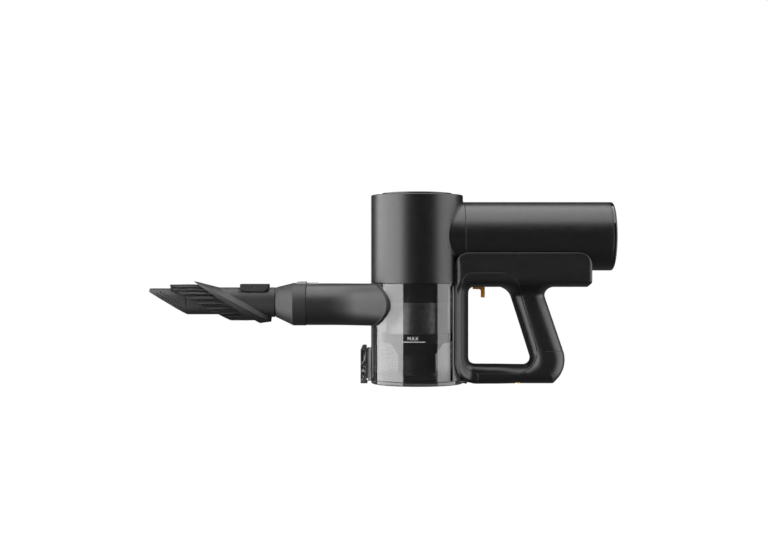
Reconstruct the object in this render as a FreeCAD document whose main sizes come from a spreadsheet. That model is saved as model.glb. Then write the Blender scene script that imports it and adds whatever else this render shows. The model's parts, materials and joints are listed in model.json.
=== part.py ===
"""Handheld vacuum cleaner with a clear dust cup, a loop handle and a brush on its crevice tube.

Millimetres. +X runs from the nozzle to the rear end, +Z is up, and the origin lies on the dust
cup's axis at the underside of its lid, which is level with the bottom of the handle.
"""
import FreeCAD, Part
import math
import os
import re

import Sketcher

Vector = FreeCAD.Vector
Rotation = FreeCAD.Rotation

# ---------------------------------------------------------------- driving dimensions
DIMENSIONS = {
    # dust cup and its lid
    "cup_radius": 55.0,
    "cup_wall": 2.5,
    "cup_low": 5.3,
    "cup_top": 119.6,
    "lid_thick": 4.7,
    "plug_radius": 51.8,
    "plug_top": 12.0,
    "hinge_far": 57.5,
    "hinge_up": 2.7,
    "knuckle_radius": 2.4,
    "bracket_thick": 2.0,
    # what hangs inside the cup
    "column_radius": 22.4,
    "funnel_radius": 33.0,
    "funnel_low": 34.0,
    "skirt_radius": 42.6,
    "skirt_low": 49.4,
    "skirt_top": 60.0,
    "screen_radius": 37.0,
    "screen_top": 97.0,
    "screen_wall": 0.8,
    "cone_circle": 24.0,
    # latch at the front of the cup
    "latch_front": -67.6,
    "latch_low": 0.5,
    "latch_top": 45.6,
    "latch_half": 11.0,
    "latch_pivot_far": -62.6,
    "latch_pivot_up": 20.0,
    # tall round housing and filter
    "housing_low": 120.0,
    "housing_top": 225.0,
    "housing_wall": 2.5,
    "filter_bore": 42.3,
    "filter_radius": 42.0,
    "filter_low": 146.0,
    "cap_top": 228.0,
    # horizontal barrel with the motor
    "barrel_up": 176.0,
    "barrel_radius": 41.0,
    "barrel_wall": 2.5,
    "neck_end": 56.4,
    "barrel_end": 229.7,
    "rear_end": 234.0,
    "grille_radius": 34.0,
    "display_radius": 18.0,
    "button_radius": 5.0,
    "button_down": 9.0,
    "motor_front": 96.0,
    "motor_rear": 176.0,
    "motor_radius": 30.0,
    "shaft_radius": 2.5,
    # inlet duct and tool
    "duct_up": 94.6,
    "duct_radius": 25.0,
    "duct_wall": 2.0,
    "duct_shift": 19.5,
    "duct_front": -132.0,
    "bend_front": -110.0,
    "bend_rear": -54.0,
    "collar_front": -148.0,
    "collar_radius": 25.5,
    "spigot_radius": 22.7,
    "spigot_end": -118.0,
    "cone_front": -169.0,
    "tube_up": 98.0,
    "tube_half": 15.6,
    "tube_width": 11.5,
    "tube_wall": 1.8,
    "tip_far": -320.0,
    "mouth_low_far": -275.0,
    "bleed_radius": 0.85,
    "bleed_step": 3.54,
    "bleed_drop": 2.055,
    "sleeve_up": 97.0,
    "sleeve_half": 17.8,
    "sleeve_width": 14.0,
    "sleeve_rear": -170.0,
    "rim_far": -227.7,
    "rim_half": 47.1,
    "rim_width": 20.0,
    "crease_far": -218.6,
    "crease_half": 49.8,
    "crease_width": 20.5,
    "shroud_rear_far": -205.5,
    "shroud_rear_half": 36.1,
    "rocker_far": -194.3,
    "rocker_up": 115.0,
    "rocker_front": -211.2,
    "rocker_rear": -177.6,
    "rocker_top": 118.9,
    "rocker_low": 110.0,
    "rocker_half": 12.4,
    "tool_gap": 0.4,
    "button_top": 121.9,
    # handle: outline corners seen from the side
    "block_front": 43.7,
    "block_rear": 205.0,
    "block_top": 157.6,
    "block_low": 116.8,
    "grip_root": 148.7,
    "heel_far": 181.4,
    "heel_up": 19.9,
    "sole_end": 162.8,
    "hole_front": 60.6,
    "hole_top": 116.8,
    "hole_top_far": 109.0,
    "hole_low_far": 138.3,
    "hole_low": 22.7,
    "seam_front": 52.2,
    "seam_top": 132.6,
    "seam_top_far": 115.2,
    "seam_low_far": 162.4,
    "seam_low": 12.7,
    "cover_front": 71.8,
    "cover_top": 39.4,
    "block_half": 38.5,
    "bar_half": 36.0,
    "grip_half": 19.0,
    "handle_wall": 2.7,
    "trough_wall": 2.0,
    "handle_gap": 0.3,
    "cup_gap": 2.4,
    "grip_tilt": -18.0,
    "grip_foot_far": 157.0,
    "grip_foot_up": 30.0,
    "cell_pitch": 7.4,
    # trigger
    "trigger_front": 67.1,
    "trigger_rear": 81.0,
    "trigger_low": 102.6,
    "trigger_roof": 116.5,
    # pins, screws and charging contacts
    "pin_radius": 1.2,
    "pin_fit": 0.06,
    "screw_radius": 1.5,
    "screw_head_radius": 3.0,
    "contact_far": 120.0,
    "contact_radius": 2.9,
}

# Each screw: how far along and how high it is, and how deep its head lies.
SCREWS = (("160", "125.5", "31"), ("195", "125.5", "31"), ("66.9", "5.6", "18"))

# Each charging contact: its side and its place across the handle.
CONTACTS = (("near", "-7"), ("far", "7"))

doc = FreeCAD.newDocument("handheld_vacuum")
sheet = doc.addObject("Spreadsheet::Sheet", "dims")
for row, (alias, size) in enumerate(DIMENSIONS.items(), start=1):
    sheet.set(f"A{row}", alias)
    sheet.set(f"B{row}", str(size))
    sheet.setAlias(f"B{row}", alias)
doc.recompute()

nodes = []


# ---------------------------------------------------------------- helpers
def value(text):
    """The number that an expression of sheet names comes to."""
    return float(sheet.evalExpression(str(text)))


def bound(text):
    """The expression with each sheet name written as a reference to the sheet."""
    def reference(word):
        return f"dims.{word[0]}" if word[0] in DIMENSIONS else word[0]

    return re.sub(r"[a-z_]+", reference, str(text))


def bind(item, **sizes):
    """Tie an object's properties to expressions of sheet names."""
    for field, text in sizes.items():
        item.setExpression(field, bound(text))
    return item


TURNS = {
    "X": Rotation(Vector(0, 1, 0), 90),
    "Y": Rotation(Vector(1, 0, 0), -90),
    "Z": Rotation(),
}


def put(item, place, axis="Z"):
    """Put an object's own origin at a place, with its own +Z along an axis."""
    item.Placement = FreeCAD.Placement(Vector(), TURNS[axis])
    for field, text in zip("xyz", place):
        item.setExpression(f"Placement.Base.{field}", bound(text))
    return item


def node(item, label):
    """Keep an object as a piece of its own, under the name of its file."""
    item.Label = label
    nodes.append(item)
    return item


def rod(name, axis, radius, start, length):
    """A round bar from the centre of its first end."""
    item = doc.addObject("Part::Cylinder", name)
    bind(item, Radius=radius, Height=length)
    return put(item, start, axis)


def cone(name, axis, first_radius, last_radius, start, length):
    """A cone's frustum from the centre of its first end."""
    item = doc.addObject("Part::Cone", name)
    bind(item, Radius1=first_radius, Radius2=last_radius, Height=length)
    return put(item, start, axis)


def block(name, across, deep, high):
    """A box between two values on each axis."""
    item = doc.addObject("Part::Box", name)
    sizes = [f"({last}) - ({first})" for first, last in (across, deep, high)]
    bind(item, Length=sizes[0], Width=sizes[1], Height=sizes[2])
    return put(item, (across[0], deep[0], high[0]))


def join(name, *items):
    fused = doc.addObject("Part::MultiFuse", name)
    fused.Shapes = list(items)
    return fused


def overlap(name, *items):
    shared = doc.addObject("Part::MultiCommon", name)
    shared.Shapes = list(items)
    return shared


def cut(name, base, *tools):
    """The base with every tool taken away."""
    for number, tool in enumerate(tools):
        result = doc.addObject("Part::Cut", f"{name}_{number}")
        result.Base = base
        result.Tool = tool
        base = result
    return base


def tube(name, axis, outer, inner, start, length):
    """A round tube: its bore runs right through."""
    skin = rod(f"{name}_skin", axis, outer, start, length)
    return cut(name, skin, rod(f"{name}_bore", axis, inner, start, length))


def plane_of(body, role):
    return next(item for item in body.Origin.OriginFeatures if item.Role == role)


def polygon_sketch(body, role, points):
    """A closed polygon whose corners are tied to the sheet."""
    sketch = body.newObject("Sketcher::SketchObject", f"{body.Name}_sketch")
    sketch.AttachmentSupport = [(plane_of(body, role), "")]
    sketch.MapMode = "FlatFace"
    spots = [Vector(value(across), value(up), 0) for across, up in points]
    for start, end in zip(spots, spots[1:] + spots[:1]):
        sketch.addGeometry(Part.LineSegment(start, end), False)
    for index in range(len(points)):
        sketch.addConstraint(Sketcher.Constraint("Coincident", index, 2, (index + 1) % len(points), 1))
    for index, corner in enumerate(points):
        for kind, text in zip(("DistanceX", "DistanceY"), corner):
            size = value(text)
            ends = (-1, 1, index, 1) if size >= 0 else (index, 1, -1, 1)
            number = sketch.addConstraint(Sketcher.Constraint(kind, *ends, abs(size)))
            signed = text if size >= 0 else f"-({text})"
            sketch.setExpression(f"Constraints[{number}]", bound(signed))
    return sketch


def turned(name, points, place=("0", "0", "0"), axis="Z"):
    """A turned piece: its section's points are (radius, distance along the axis)."""
    body = doc.addObject("PartDesign::Body", name)
    spin = body.newObject("PartDesign::Revolution", f"{name}_turn")
    spin.Profile = polygon_sketch(body, "XZ_Plane", points)
    spin.ReferenceAxis = (spin.Profile[0], ["V_Axis"])
    spin.Angle = 360
    body.Tip = spin
    return put(body, place, axis)


def edge_along_y(shape, across, up):
    """The name of the edge that runs along Y through a point seen from the side."""
    for number, edge in enumerate(shape.Edges, start=1):
        if all(math.hypot(end.X - across, end.Z - up) < 0.01 for end in edge.Vertexes):
            return f"Edge{number}"
    raise ValueError(f"no edge along Y at {across}, {up}")


def side_plate(name, points, width, corners=()):
    """A plate seen from the side, centred on Y = 0, with some of its corners rounded.

    Each entry of corners is a point's number and the radius there.
    """
    body = doc.addObject("PartDesign::Body", name)
    pad = body.newObject("PartDesign::Pad", f"{name}_pad")
    pad.Profile = polygon_sketch(body, "XZ_Plane", points)
    pad.Midplane = True
    bind(pad, Length=width)
    body.Tip = pad
    for index, radius in corners:
        doc.recompute()
        last = body.Tip
        edge = edge_along_y(last.Shape, *(value(text) for text in points[index]))
        rounding = body.newObject("PartDesign::Fillet", f"{name}_round_{index}")
        rounding.Base = (last, [edge])
        bind(rounding, Radius=radius)
        body.Tip = rounding
    return body


def plan_plate(name, role, points, length, place):
    """A plate drawn on a plane that is square to Z or X, and thick along that plane's own normal."""
    body = doc.addObject("PartDesign::Body", name)
    pad = body.newObject("PartDesign::Pad", f"{name}_pad")
    pad.Profile = polygon_sketch(body, role, points)
    bind(pad, Length=length)
    body.Tip = pad
    return put(body, place)


def spring(name, radius, wire, turns, length, place, axis):
    """A coil spring that starts at a place and runs along an axis."""
    body = doc.addObject("PartDesign::Body", name)
    sketch = body.newObject("Sketcher::SketchObject", f"{name}_wire")
    sketch.AttachmentSupport = [(plane_of(body, "XZ_Plane"), "")]
    sketch.MapMode = "FlatFace"
    sketch.addGeometry(Part.Circle(Vector(radius, wire, 0), Vector(0, 0, 1), wire), False)
    sketch.addConstraint(Sketcher.Constraint("Radius", 0, wire))
    sketch.addConstraint(Sketcher.Constraint("DistanceX", -1, 1, 0, 3, radius))
    sketch.addConstraint(Sketcher.Constraint("DistanceY", -1, 1, 0, 3, wire))
    coil = body.newObject("PartDesign::AdditiveHelix", f"{name}_coil")
    coil.Profile = sketch
    coil.ReferenceAxis = (sketch, ["V_Axis"])
    coil.Mode = "pitch-height-angle"
    coil.Pitch = (length - 2 * wire) / turns
    coil.Height = length - 2 * wire
    body.Tip = coil
    return put(body, place, axis)


def stadium(name, half_height, half_width, up, start, length):
    """A bar along X with flat sides and a round top and bottom."""
    flat = f"({half_height}) - ({half_width})"
    return join(
        name,
        block(f"{name}_middle", (start, f"{start} + {length}"), (f"-({half_width})", half_width),
              (f"{up} - ({flat})", f"{up} + {flat}")),
        rod(f"{name}_top", "X", half_width, (start, "0", f"{up} + {flat}"), length),
        rod(f"{name}_bottom", "X", half_width, (start, "0", f"{up} - ({flat})"), length),
    )


def mirrored(points):
    """The points followed by their mirror images in the first coordinate, in reverse."""
    return points + [(f"-({across})", up) for across, up in reversed(points)]


# ---------------------------------------------------------------- round housing, barrel and motor
def make_housing():
    shell = turned("upper_housing_shell", [
        ("cup_radius", "housing_low"),
        ("cup_radius", "housing_top - 1.2"),
        ("cup_radius - 1.2", "housing_top"),
        ("filter_bore", "housing_top"),
        ("filter_bore", "housing_top - 8"),
        ("cup_radius - housing_wall", "housing_top - 8"),
        ("cup_radius - housing_wall", "housing_low"),
    ])
    air_way = rod("housing_air_way", "X", "barrel_radius - barrel_wall", ("0", "0", "barrel_up"),
                  "cup_radius + 5")
    node(cut("upper_housing_cut", shell, air_way), "upper_housing")

    neck = tube("neck", "X", "barrel_radius", "barrel_radius - barrel_wall", ("20", "0", "barrel_up"),
                "neck_end - 20")
    round_side = rod("neck_relief", "Z", "cup_radius", ("0", "0", "housing_low"),
                     "housing_top - housing_low")
    node(cut("barrel_neck_cut", neck, round_side), "barrel_neck")


def make_barrel():
    on_axis = ("0", "0", "barrel_up")
    barrel = turned("motor_barrel_body", [
        ("barrel_radius", "neck_end"),
        ("barrel_radius", "barrel_end"),
        ("barrel_radius - barrel_wall", "barrel_end"),
        ("barrel_radius - barrel_wall", "neck_end"),
    ], on_axis, "X")
    node(barrel, "motor_barrel")
    node(turned("rear_ring_body", [
        ("barrel_radius", "barrel_end"),
        ("barrel_radius", "rear_end - 2"),
        ("barrel_radius - 1.5", "rear_end"),
        ("grille_radius", "rear_end"),
        ("grille_radius", "barrel_end"),
    ], on_axis, "X"), "rear_ring")

    grille = turned("exhaust_grille_body", [
        ("grille_radius", "rear_end - 4"),
        ("grille_radius", "rear_end - 1.5"),
        ("display_radius + 0.2", "rear_end - 1.5"),
        ("display_radius + 0.2", "rear_end - 4"),
    ], on_axis, "X")
    slot = grille.newObject("PartDesign::Pocket", "exhaust_grille_slot")
    slot.Profile = polygon_sketch(grille, "XY_Plane", [
        ("display_radius + 3.5", "-1.3"),
        ("grille_radius - 2.5", "-1.3"),
        ("grille_radius - 2.5", "1.3"),
        ("display_radius + 3.5", "1.3"),
    ])
    slot.Type = "ThroughAll"
    slot.Midplane = True
    slots = grille.newObject("PartDesign::PolarPattern", "exhaust_grille_slots")
    slots.Originals = [slot]
    slots.Axis = (slot.Profile[0], ["N_Axis"])
    slots.Angle = 360
    slots.Occurrences = 24
    grille.Tip = slots
    node(grille, "exhaust_grille")

    button_at = ("rear_end - 5", "0", "barrel_up - button_down")
    panel = rod("display_disc", "X", "display_radius", ("rear_end - 6", "0", "barrel_up"), "4.8")
    button_hole = rod("display_hole", "X", "button_radius + 0.4",
                      ("rear_end - 7", "0", "barrel_up - button_down"), "8")
    node(cut("display_panel_cut", panel, button_hole), "display_panel")
    node(rod("mode_button_disc", "X", "button_radius", button_at, "4.6"), "mode_button")


def make_motor():
    on_axis = ("0", "0", "barrel_up")
    skin = "motor_radius - 1.6"
    node(turned("motor_housing_body", [
        ("motor_radius", "motor_front"),
        ("motor_radius", "motor_rear"),
        ("8", "motor_rear"),
        ("8", "motor_rear - 1.6"),
        (skin, "motor_rear - 1.6"),
        (skin, "motor_front + 23"),
        ("8", "motor_front + 23"),
        ("8", "motor_front + 20"),
        (skin, "motor_front + 20"),
        (skin, "motor_front + 1.6"),
        ("14", "motor_front + 1.6"),
        ("14", "motor_front"),
    ], on_axis, "X"), "motor_housing")
    stator = tube("motor_stator_ring", "X", "motor_radius - 1.7", "16.5",
                  ("motor_front + 30", "0", "barrel_up"), "34")
    node(stator, "motor_stator")
    node(join("motor_bearings_set", *(
        tube(f"bearing_{number}", "X", "7.95", "shaft_radius + 0.06", (start, "0", "barrel_up"), "5")
        for number, start in enumerate(("motor_front + 18", "motor_rear - 5"))
    )), "motor_bearings")
    node(join("motor_mounts_set", *(
        tube(f"mount_ring_{number}", "X", "barrel_radius - barrel_wall - 0.1", "motor_radius + 0.1",
             (start, "0", "barrel_up"), "8")
        for number, start in enumerate(("motor_front + 4", "motor_rear - 16"))
    )), "motor_mount_rings")

    node(rod("motor_shaft_bar", "X", "shaft_radius", ("motor_front + 2", "0", "barrel_up"), "82"),
         "motor_shaft")
    node(tube("rotor_magnet_ring", "X", "15.5", "shaft_radius", ("motor_front + 32", "0", "barrel_up"),
              "30"), "rotor_magnet")
    impeller = turned("impeller_body", [
        ("shaft_radius", "motor_front + 4"),
        ("5", "motor_front + 4"),
        ("9", "motor_front + 14"),
        ("26", "motor_front + 14.5"),
        ("26", "motor_front + 16"),
        ("shaft_radius", "motor_front + 16"),
    ], on_axis, "X")
    vane = impeller.newObject("PartDesign::Pad", "impeller_vane")
    vane.Profile = polygon_sketch(impeller, "XZ_Plane", [
        ("6.5", "motor_front + 6"),
        ("24", "motor_front + 9"),
        ("24", "motor_front + 15"),
        ("6.5", "motor_front + 15"),
    ])
    vane.Midplane = True
    vane.Length = 0.8
    vanes = impeller.newObject("PartDesign::PolarPattern", "impeller_vanes")
    vanes.Originals = [vane]
    vanes.Axis = (vane.Profile[0], ["V_Axis"])
    vanes.Angle = 360
    vanes.Occurrences = 9
    impeller.Tip = vanes
    node(impeller, "impeller")

    board = rod("control_board_disc", "X", "35", ("motor_rear + 14", "0", "barrel_up"), "1.6")
    chips = [
        block(f"control_chip_{number}", ("motor_rear + 15.6", f"motor_rear + 15.6 + {tall}"), (left, right),
              (f"barrel_up + {low}", f"barrel_up + {high}"))
        for number, (left, right, low, high, tall) in enumerate((
            ("-20", "-8", "4", "16", "2.5"), ("2", "22", "-6", "8", "6"), ("-14", "-2", "-24", "-12", "9"),
        ))
    ]
    node(join("control_board_set", board, *chips), "control_board")
    node(tube("exhaust_foam_ring", "X", "barrel_radius - barrel_wall - 0.2", "display_radius + 2",
              ("motor_rear + 32", "0", "barrel_up"), "18"), "exhaust_foam")


def make_filter():
    node(turned("filter_cap_body", [
        ("0", "cap_top - 9"),
        ("filter_radius", "cap_top - 9"),
        ("filter_radius", "cap_top - 0.8"),
        ("filter_radius - 0.8", "cap_top"),
        ("0", "cap_top"),
    ]), "filter_cap")
    frame = tube("filter_frame_tube", "Z", "39.5", "37.5", ("0", "0", "filter_low + 4"),
                 "cap_top - 13 - filter_low")
    windows = [
        block(f"filter_window_{axis}", across, deep, ("filter_low + 9", "cap_top - 14"))
        for axis, across, deep in (
            ("x", ("-45", "45"), ("-14", "14")),
            ("y", ("-14", "14"), ("-45", "45")),
        )
    ]
    node(cut("filter_frame_cut", frame, *windows), "filter_frame")
    node(tube("filter_media_ring", "Z", "37.4", "20", ("0", "0", "filter_low + 4"),
              "cap_top - 13 - filter_low"), "filter_media")
    node(tube("filter_seal_ring", "Z", "41", "20", ("0", "0", "filter_low"), "4"), "filter_seal")


# ---------------------------------------------------------------- inside of the cup
def make_cyclone():
    plate = turned("vortex_plate_body", [
        ("0", "housing_low + 0.4"),
        ("cup_radius - housing_wall - 0.2", "housing_low + 0.4"),
        ("cup_radius - housing_wall - 0.2", "housing_low + 3.4"),
        ("41", "housing_low + 3.4"),
        ("41", "filter_low - 0.4"),
        ("38.6", "filter_low - 0.4"),
        ("38.6", "housing_low + 3.4"),
        ("0", "housing_low + 3.4"),
    ])
    cones = []
    bores = []
    for number in range(8):
        angle = number * 45
        spot = (f"cone_circle * cos({angle} deg)", f"cone_circle * sin({angle} deg)", "62")
        top = (spot[0], spot[1], "housing_low - 1")
        shell = cone(f"cone_skin_{number}", "Z", "4", "8.5", spot, "housing_low + 0.4 - 62")
        inside = cone(f"cone_bore_{number}", "Z", "3", "7.5", spot, "housing_low + 0.4 - 62")
        cones.append(cut(f"cone_{number}", shell, inside))
        bores.append(rod(f"vortex_bore_{number}", "Z", "4", top, "6"))
    node(cut("vortex_plate_cut", plate, join("vortex_bores", *bores)), "vortex_finder_plate")
    node(join("cyclone_cones_set", *cones), "cyclone_cones")

    node(tube("cyclone_collar_tube", "Z", "screen_radius", "screen_radius - 2", ("0", "0", "screen_top"),
              "housing_low + 0.4 - screen_top"), "cyclone_collar")
    node(tube("mesh_screen_tube", "Z", "screen_radius - 0.2", "screen_radius - 0.2 - screen_wall",
              ("0", "0", "skirt_top"), "screen_top - skirt_top"), "mesh_screen")
    node(turned("shroud_skirt_body", [
        ("skirt_radius", "skirt_low"),
        ("skirt_radius", "skirt_top"),
        ("funnel_radius - 0.5", "skirt_top"),
        ("funnel_radius - 1.5", "skirt_low + 0.6"),
        ("column_radius - 1.5", "funnel_low"),
        ("column_radius", "funnel_low"),
        ("funnel_radius", "skirt_low"),
        ("funnel_radius + 1", "skirt_top - 1.5"),
        ("skirt_radius - 1.5", "skirt_top - 1.5"),
        ("skirt_radius - 1.5", "skirt_low"),
    ]), "shroud_skirt")
    node(tube("dust_column_tube", "Z", "column_radius", "column_radius - 1.5", ("0", "0", "plug_top + 0.4"),
              "funnel_low - plug_top - 0.4"), "dust_column")


# ---------------------------------------------------------------- cup, lid and latch
def duct_route():
    """The duct's centre line: straight, two equal arcs that shift it sideways, and straight again."""
    reach = value("bend_rear - bend_front") / 2
    shift = -value("duct_shift") / 2
    turn = 2 * math.atan2(abs(shift), reach)
    bend = reach / math.sin(turn)
    up = value("duct_up")
    start, first, middle, last = (
        Vector(value("duct_front"), 0, up),
        Vector(value("bend_front"), 0, up),
        Vector(value("bend_front") + reach, shift, up),
        Vector(value("bend_rear"), 2 * shift, up),
    )
    half = Vector(bend * math.sin(turn / 2), -bend * (1 - math.cos(turn / 2)), 0)
    route = doc.addObject("Part::Feature", "duct_route")
    route.Shape = Part.Wire([
        Part.LineSegment(start, first).toShape(),
        Part.Arc(first, first + half, middle).toShape(),
        Part.Arc(middle, last - half, last).toShape(),
        Part.LineSegment(last, last + Vector(34, 0, 0)).toShape(),
    ])
    return route


def swept(name, route, radius):
    """A round bar along a route that starts at the duct's front."""
    section = doc.addObject("Part::Circle", f"{name}_section")
    bind(section, Radius=radius)
    put(section, ("duct_front", "0", "duct_up"), "X")
    sweep = doc.addObject("Part::Sweep", name)
    sweep.Sections = [section]
    sweep.Spine = (route, [f"Edge{number}" for number in range(1, 5)])
    sweep.Solid = True
    return sweep


def make_duct():
    route = duct_route()
    cup_side = rod("duct_relief", "Z", "cup_radius + 3", ("0", "0", "duct_up - 40"), "80")
    tongue_slot = block("duct_tongue_slot", ("duct_front - 1", "spigot_end - 0.4"), ("-5.9", "5.9"),
                        ("duct_up + 18", "duct_up + 30"))
    skin = swept("duct_skin", route, "duct_radius")
    bore = swept("duct_bore", route, "duct_radius - duct_wall")
    node(cut("inlet_duct_cut", skin, bore, cup_side, tongue_slot), "inlet_duct")

    start = ("-62", "-duct_shift", "duct_up")
    collar = tube("inlet_collar_tube", "X", "duct_radius + 0.4", "duct_radius - duct_wall", start, "42")
    around = tube("inlet_collar_zone", "Z", "cup_radius + 3", "cup_radius", ("0", "0", "duct_up - 40"),
                  "80")
    node(overlap("inlet_collar_common", collar, around), "inlet_collar")


def make_cup():
    shell = tube("cup_shell_tube", "Z", "cup_radius", "cup_radius - cup_wall", ("0", "0", "cup_low"),
                 "cup_top - cup_low")
    inlet = rod("cup_inlet", "X", "duct_radius - duct_wall", ("-cup_radius - 5", "-duct_shift", "duct_up"),
                "40")
    node(cut("cup_shell_cut", shell, inlet), "cup_shell")
    node(tube("cup_seal_ring", "Z", "cup_radius - cup_wall - 0.05", "48", ("0", "0", "cup_top - 4"), "4"),
         "cup_seal")

    plate = tube("bracket_plate", "Z", "cup_radius + bracket_thick", "cup_radius", ("0", "0", "cup_low"),
                 "112")
    rear_zone = block("bracket_zone", ("block_front - 2.9", "cup_radius + 5"), ("-45", "45"),
                      ("0", "housing_low"))
    ears = []
    for side, low, high in (("near", "-13", "-8"), ("far", "8", "13")):
        ears.append(rod(f"ear_{side}", "Y", "knuckle_radius", ("hinge_far", low, "hinge_up"), "5"))
        ears.append(block(f"ear_web_{side}", ("cup_radius + 0.3", "hinge_far + knuckle_radius"),
                          (low, high), ("hinge_up", "12")))
    pin_bore = rod("ear_bore", "Y", "pin_radius + 0.02", ("hinge_far", "-15", "hinge_up"), "30")
    hugging = overlap("bracket_arc", plate, rear_zone)
    node(cut("bracket_cut", join("bracket_set", hugging, *ears), pin_bore), "cup_rear_bracket")
    node(rod("lid_hinge_pin_bar", "Y", "pin_radius", ("hinge_far", "-13", "hinge_up"), "26"),
         "lid_hinge_pin")


def make_lid():
    disc = turned("lid_disc", [
        ("0", "0"),
        ("cup_radius - 1", "0"),
        ("cup_radius", "1"),
        ("cup_radius", "lid_thick"),
        ("cup_radius - 0.5", "lid_thick"),
        ("cup_radius - 0.5", "lid_thick - 1"),
        ("plug_radius + 0.3", "lid_thick - 1"),
        ("plug_radius + 0.3", "lid_thick"),
        ("plug_radius", "lid_thick"),
        ("plug_radius - 0.6", "plug_top"),
        ("plug_radius - 3", "plug_top"),
        ("plug_radius - 3", "lid_thick"),
        ("column_radius - 2", "lid_thick"),
        ("column_radius - 2", "plug_top"),
        ("column_radius - 4", "plug_top"),
        ("column_radius - 4", "lid_thick"),
        ("0", "lid_thick"),
    ])
    web = block("lid_web", ("cup_radius - 2", "hinge_far"), ("-7.7", "7.7"),
                ("hinge_up - knuckle_radius", "lid_thick"))
    knuckle = rod("lid_knuckle", "Y", "knuckle_radius", ("hinge_far", "-7.7", "hinge_up"), "15.4")
    nose = block("lid_nose", ("-cup_radius - 4", "-cup_radius + 3"), ("-6", "6"), ("3.2", "lid_thick"))
    seal_groove = tube("lid_groove", "Z", "cup_radius - 0.5", "plug_radius + 0.3",
                       ("0", "0", "lid_thick - 1"), "2")
    pin_bore = rod("lid_bore", "Y", "pin_radius + pin_fit", ("hinge_far", "-10", "hinge_up"), "20")
    node(cut("lid_cut", join("lid_set", disc, web, knuckle, nose), seal_groove, pin_bore), "lid_plate")
    node(tube("lid_seal_ring", "Z", "cup_radius - 0.5", "plug_radius + 0.3", ("0", "0", "lid_thick - 1"),
              "1.3"), "lid_seal")


def make_latch():
    pivot = ("latch_pivot_far", "-latch_half", "latch_pivot_up")
    strip = block("latch_strip", ("-cup_radius - 5.2", "-cup_radius + 3"), ("-8.5", "8.5"), ("6", "42.5"))
    boss = block("latch_boss", ("latch_pivot_far - 2", "-cup_radius - 5"), ("-8.5", "8.5"),
                 ("latch_pivot_up - 2.5", "latch_pivot_up + 2.5"))
    cup_side = rod("latch_relief", "Z", "cup_radius", ("0", "0", "0"), "60")
    bore = rod("latch_boss_bore", "Y", "pin_radius + 0.02", pivot, "2 * latch_half")
    node(cut("latch_mount_cut", join("latch_mount_set", strip, boss), cup_side, bore), "latch_mount")

    outline = side_plate("latch_outline", [
        ("latch_front", "latch_low"),
        ("latch_front", "latch_top - 4"),
        ("latch_front + 3.6", "latch_top"),
        ("latch_front + 6.6", "latch_top"),
        ("latch_front + 6.6", "latch_low + 2.4"),
        ("-cup_radius - 4.4", "latch_low + 2.4"),
        ("-cup_radius - 4.4", "latch_low"),
    ], "2 * latch_half", ((1, "3"), (2, "2.5")))
    hollow = block("latch_hollow", ("latch_front + 2", "latch_front + 8"),
                   ("2 - latch_half", "latch_half - 2"), ("latch_low + 2.4", "latch_top - 2.4"))
    lever_bore = rod("latch_lever_bore", "Y", "pin_radius + pin_fit",
                     (pivot[0], "-latch_half - 1", pivot[2]), "2 * latch_half + 2")
    node(cut("latch_lever_cut", outline, hollow, lever_bore), "latch_lever")
    node(rod("latch_pin_bar", "Y", "pin_radius", pivot, "2 * latch_half"), "latch_pin")
    node(spring("latch_spring_body", 2.0, 0.3, 5, 5.0, ("latch_front + 2.1", "0", "34"), "X"),
         "latch_spring")


# ---------------------------------------------------------------- crevice tool and its brush
def oval(name, major, minor, place, tilt=0.0):
    """An ellipse across X, its long way up, turned about Y by tilt degrees."""
    ring = doc.addObject("Part::Ellipse", name)
    bind(ring, MajorRadius=major, MinorRadius=minor)
    put(ring, place, "X")
    ring.Placement.Rotation = Rotation(Vector(0, 1, 0), tilt).multiply(TURNS["X"])
    return ring


def loft(name, *sections):
    item = doc.addObject("Part::Loft", name)
    item.Sections = list(sections)
    item.Solid = True
    item.Ruled = True
    return item


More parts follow.
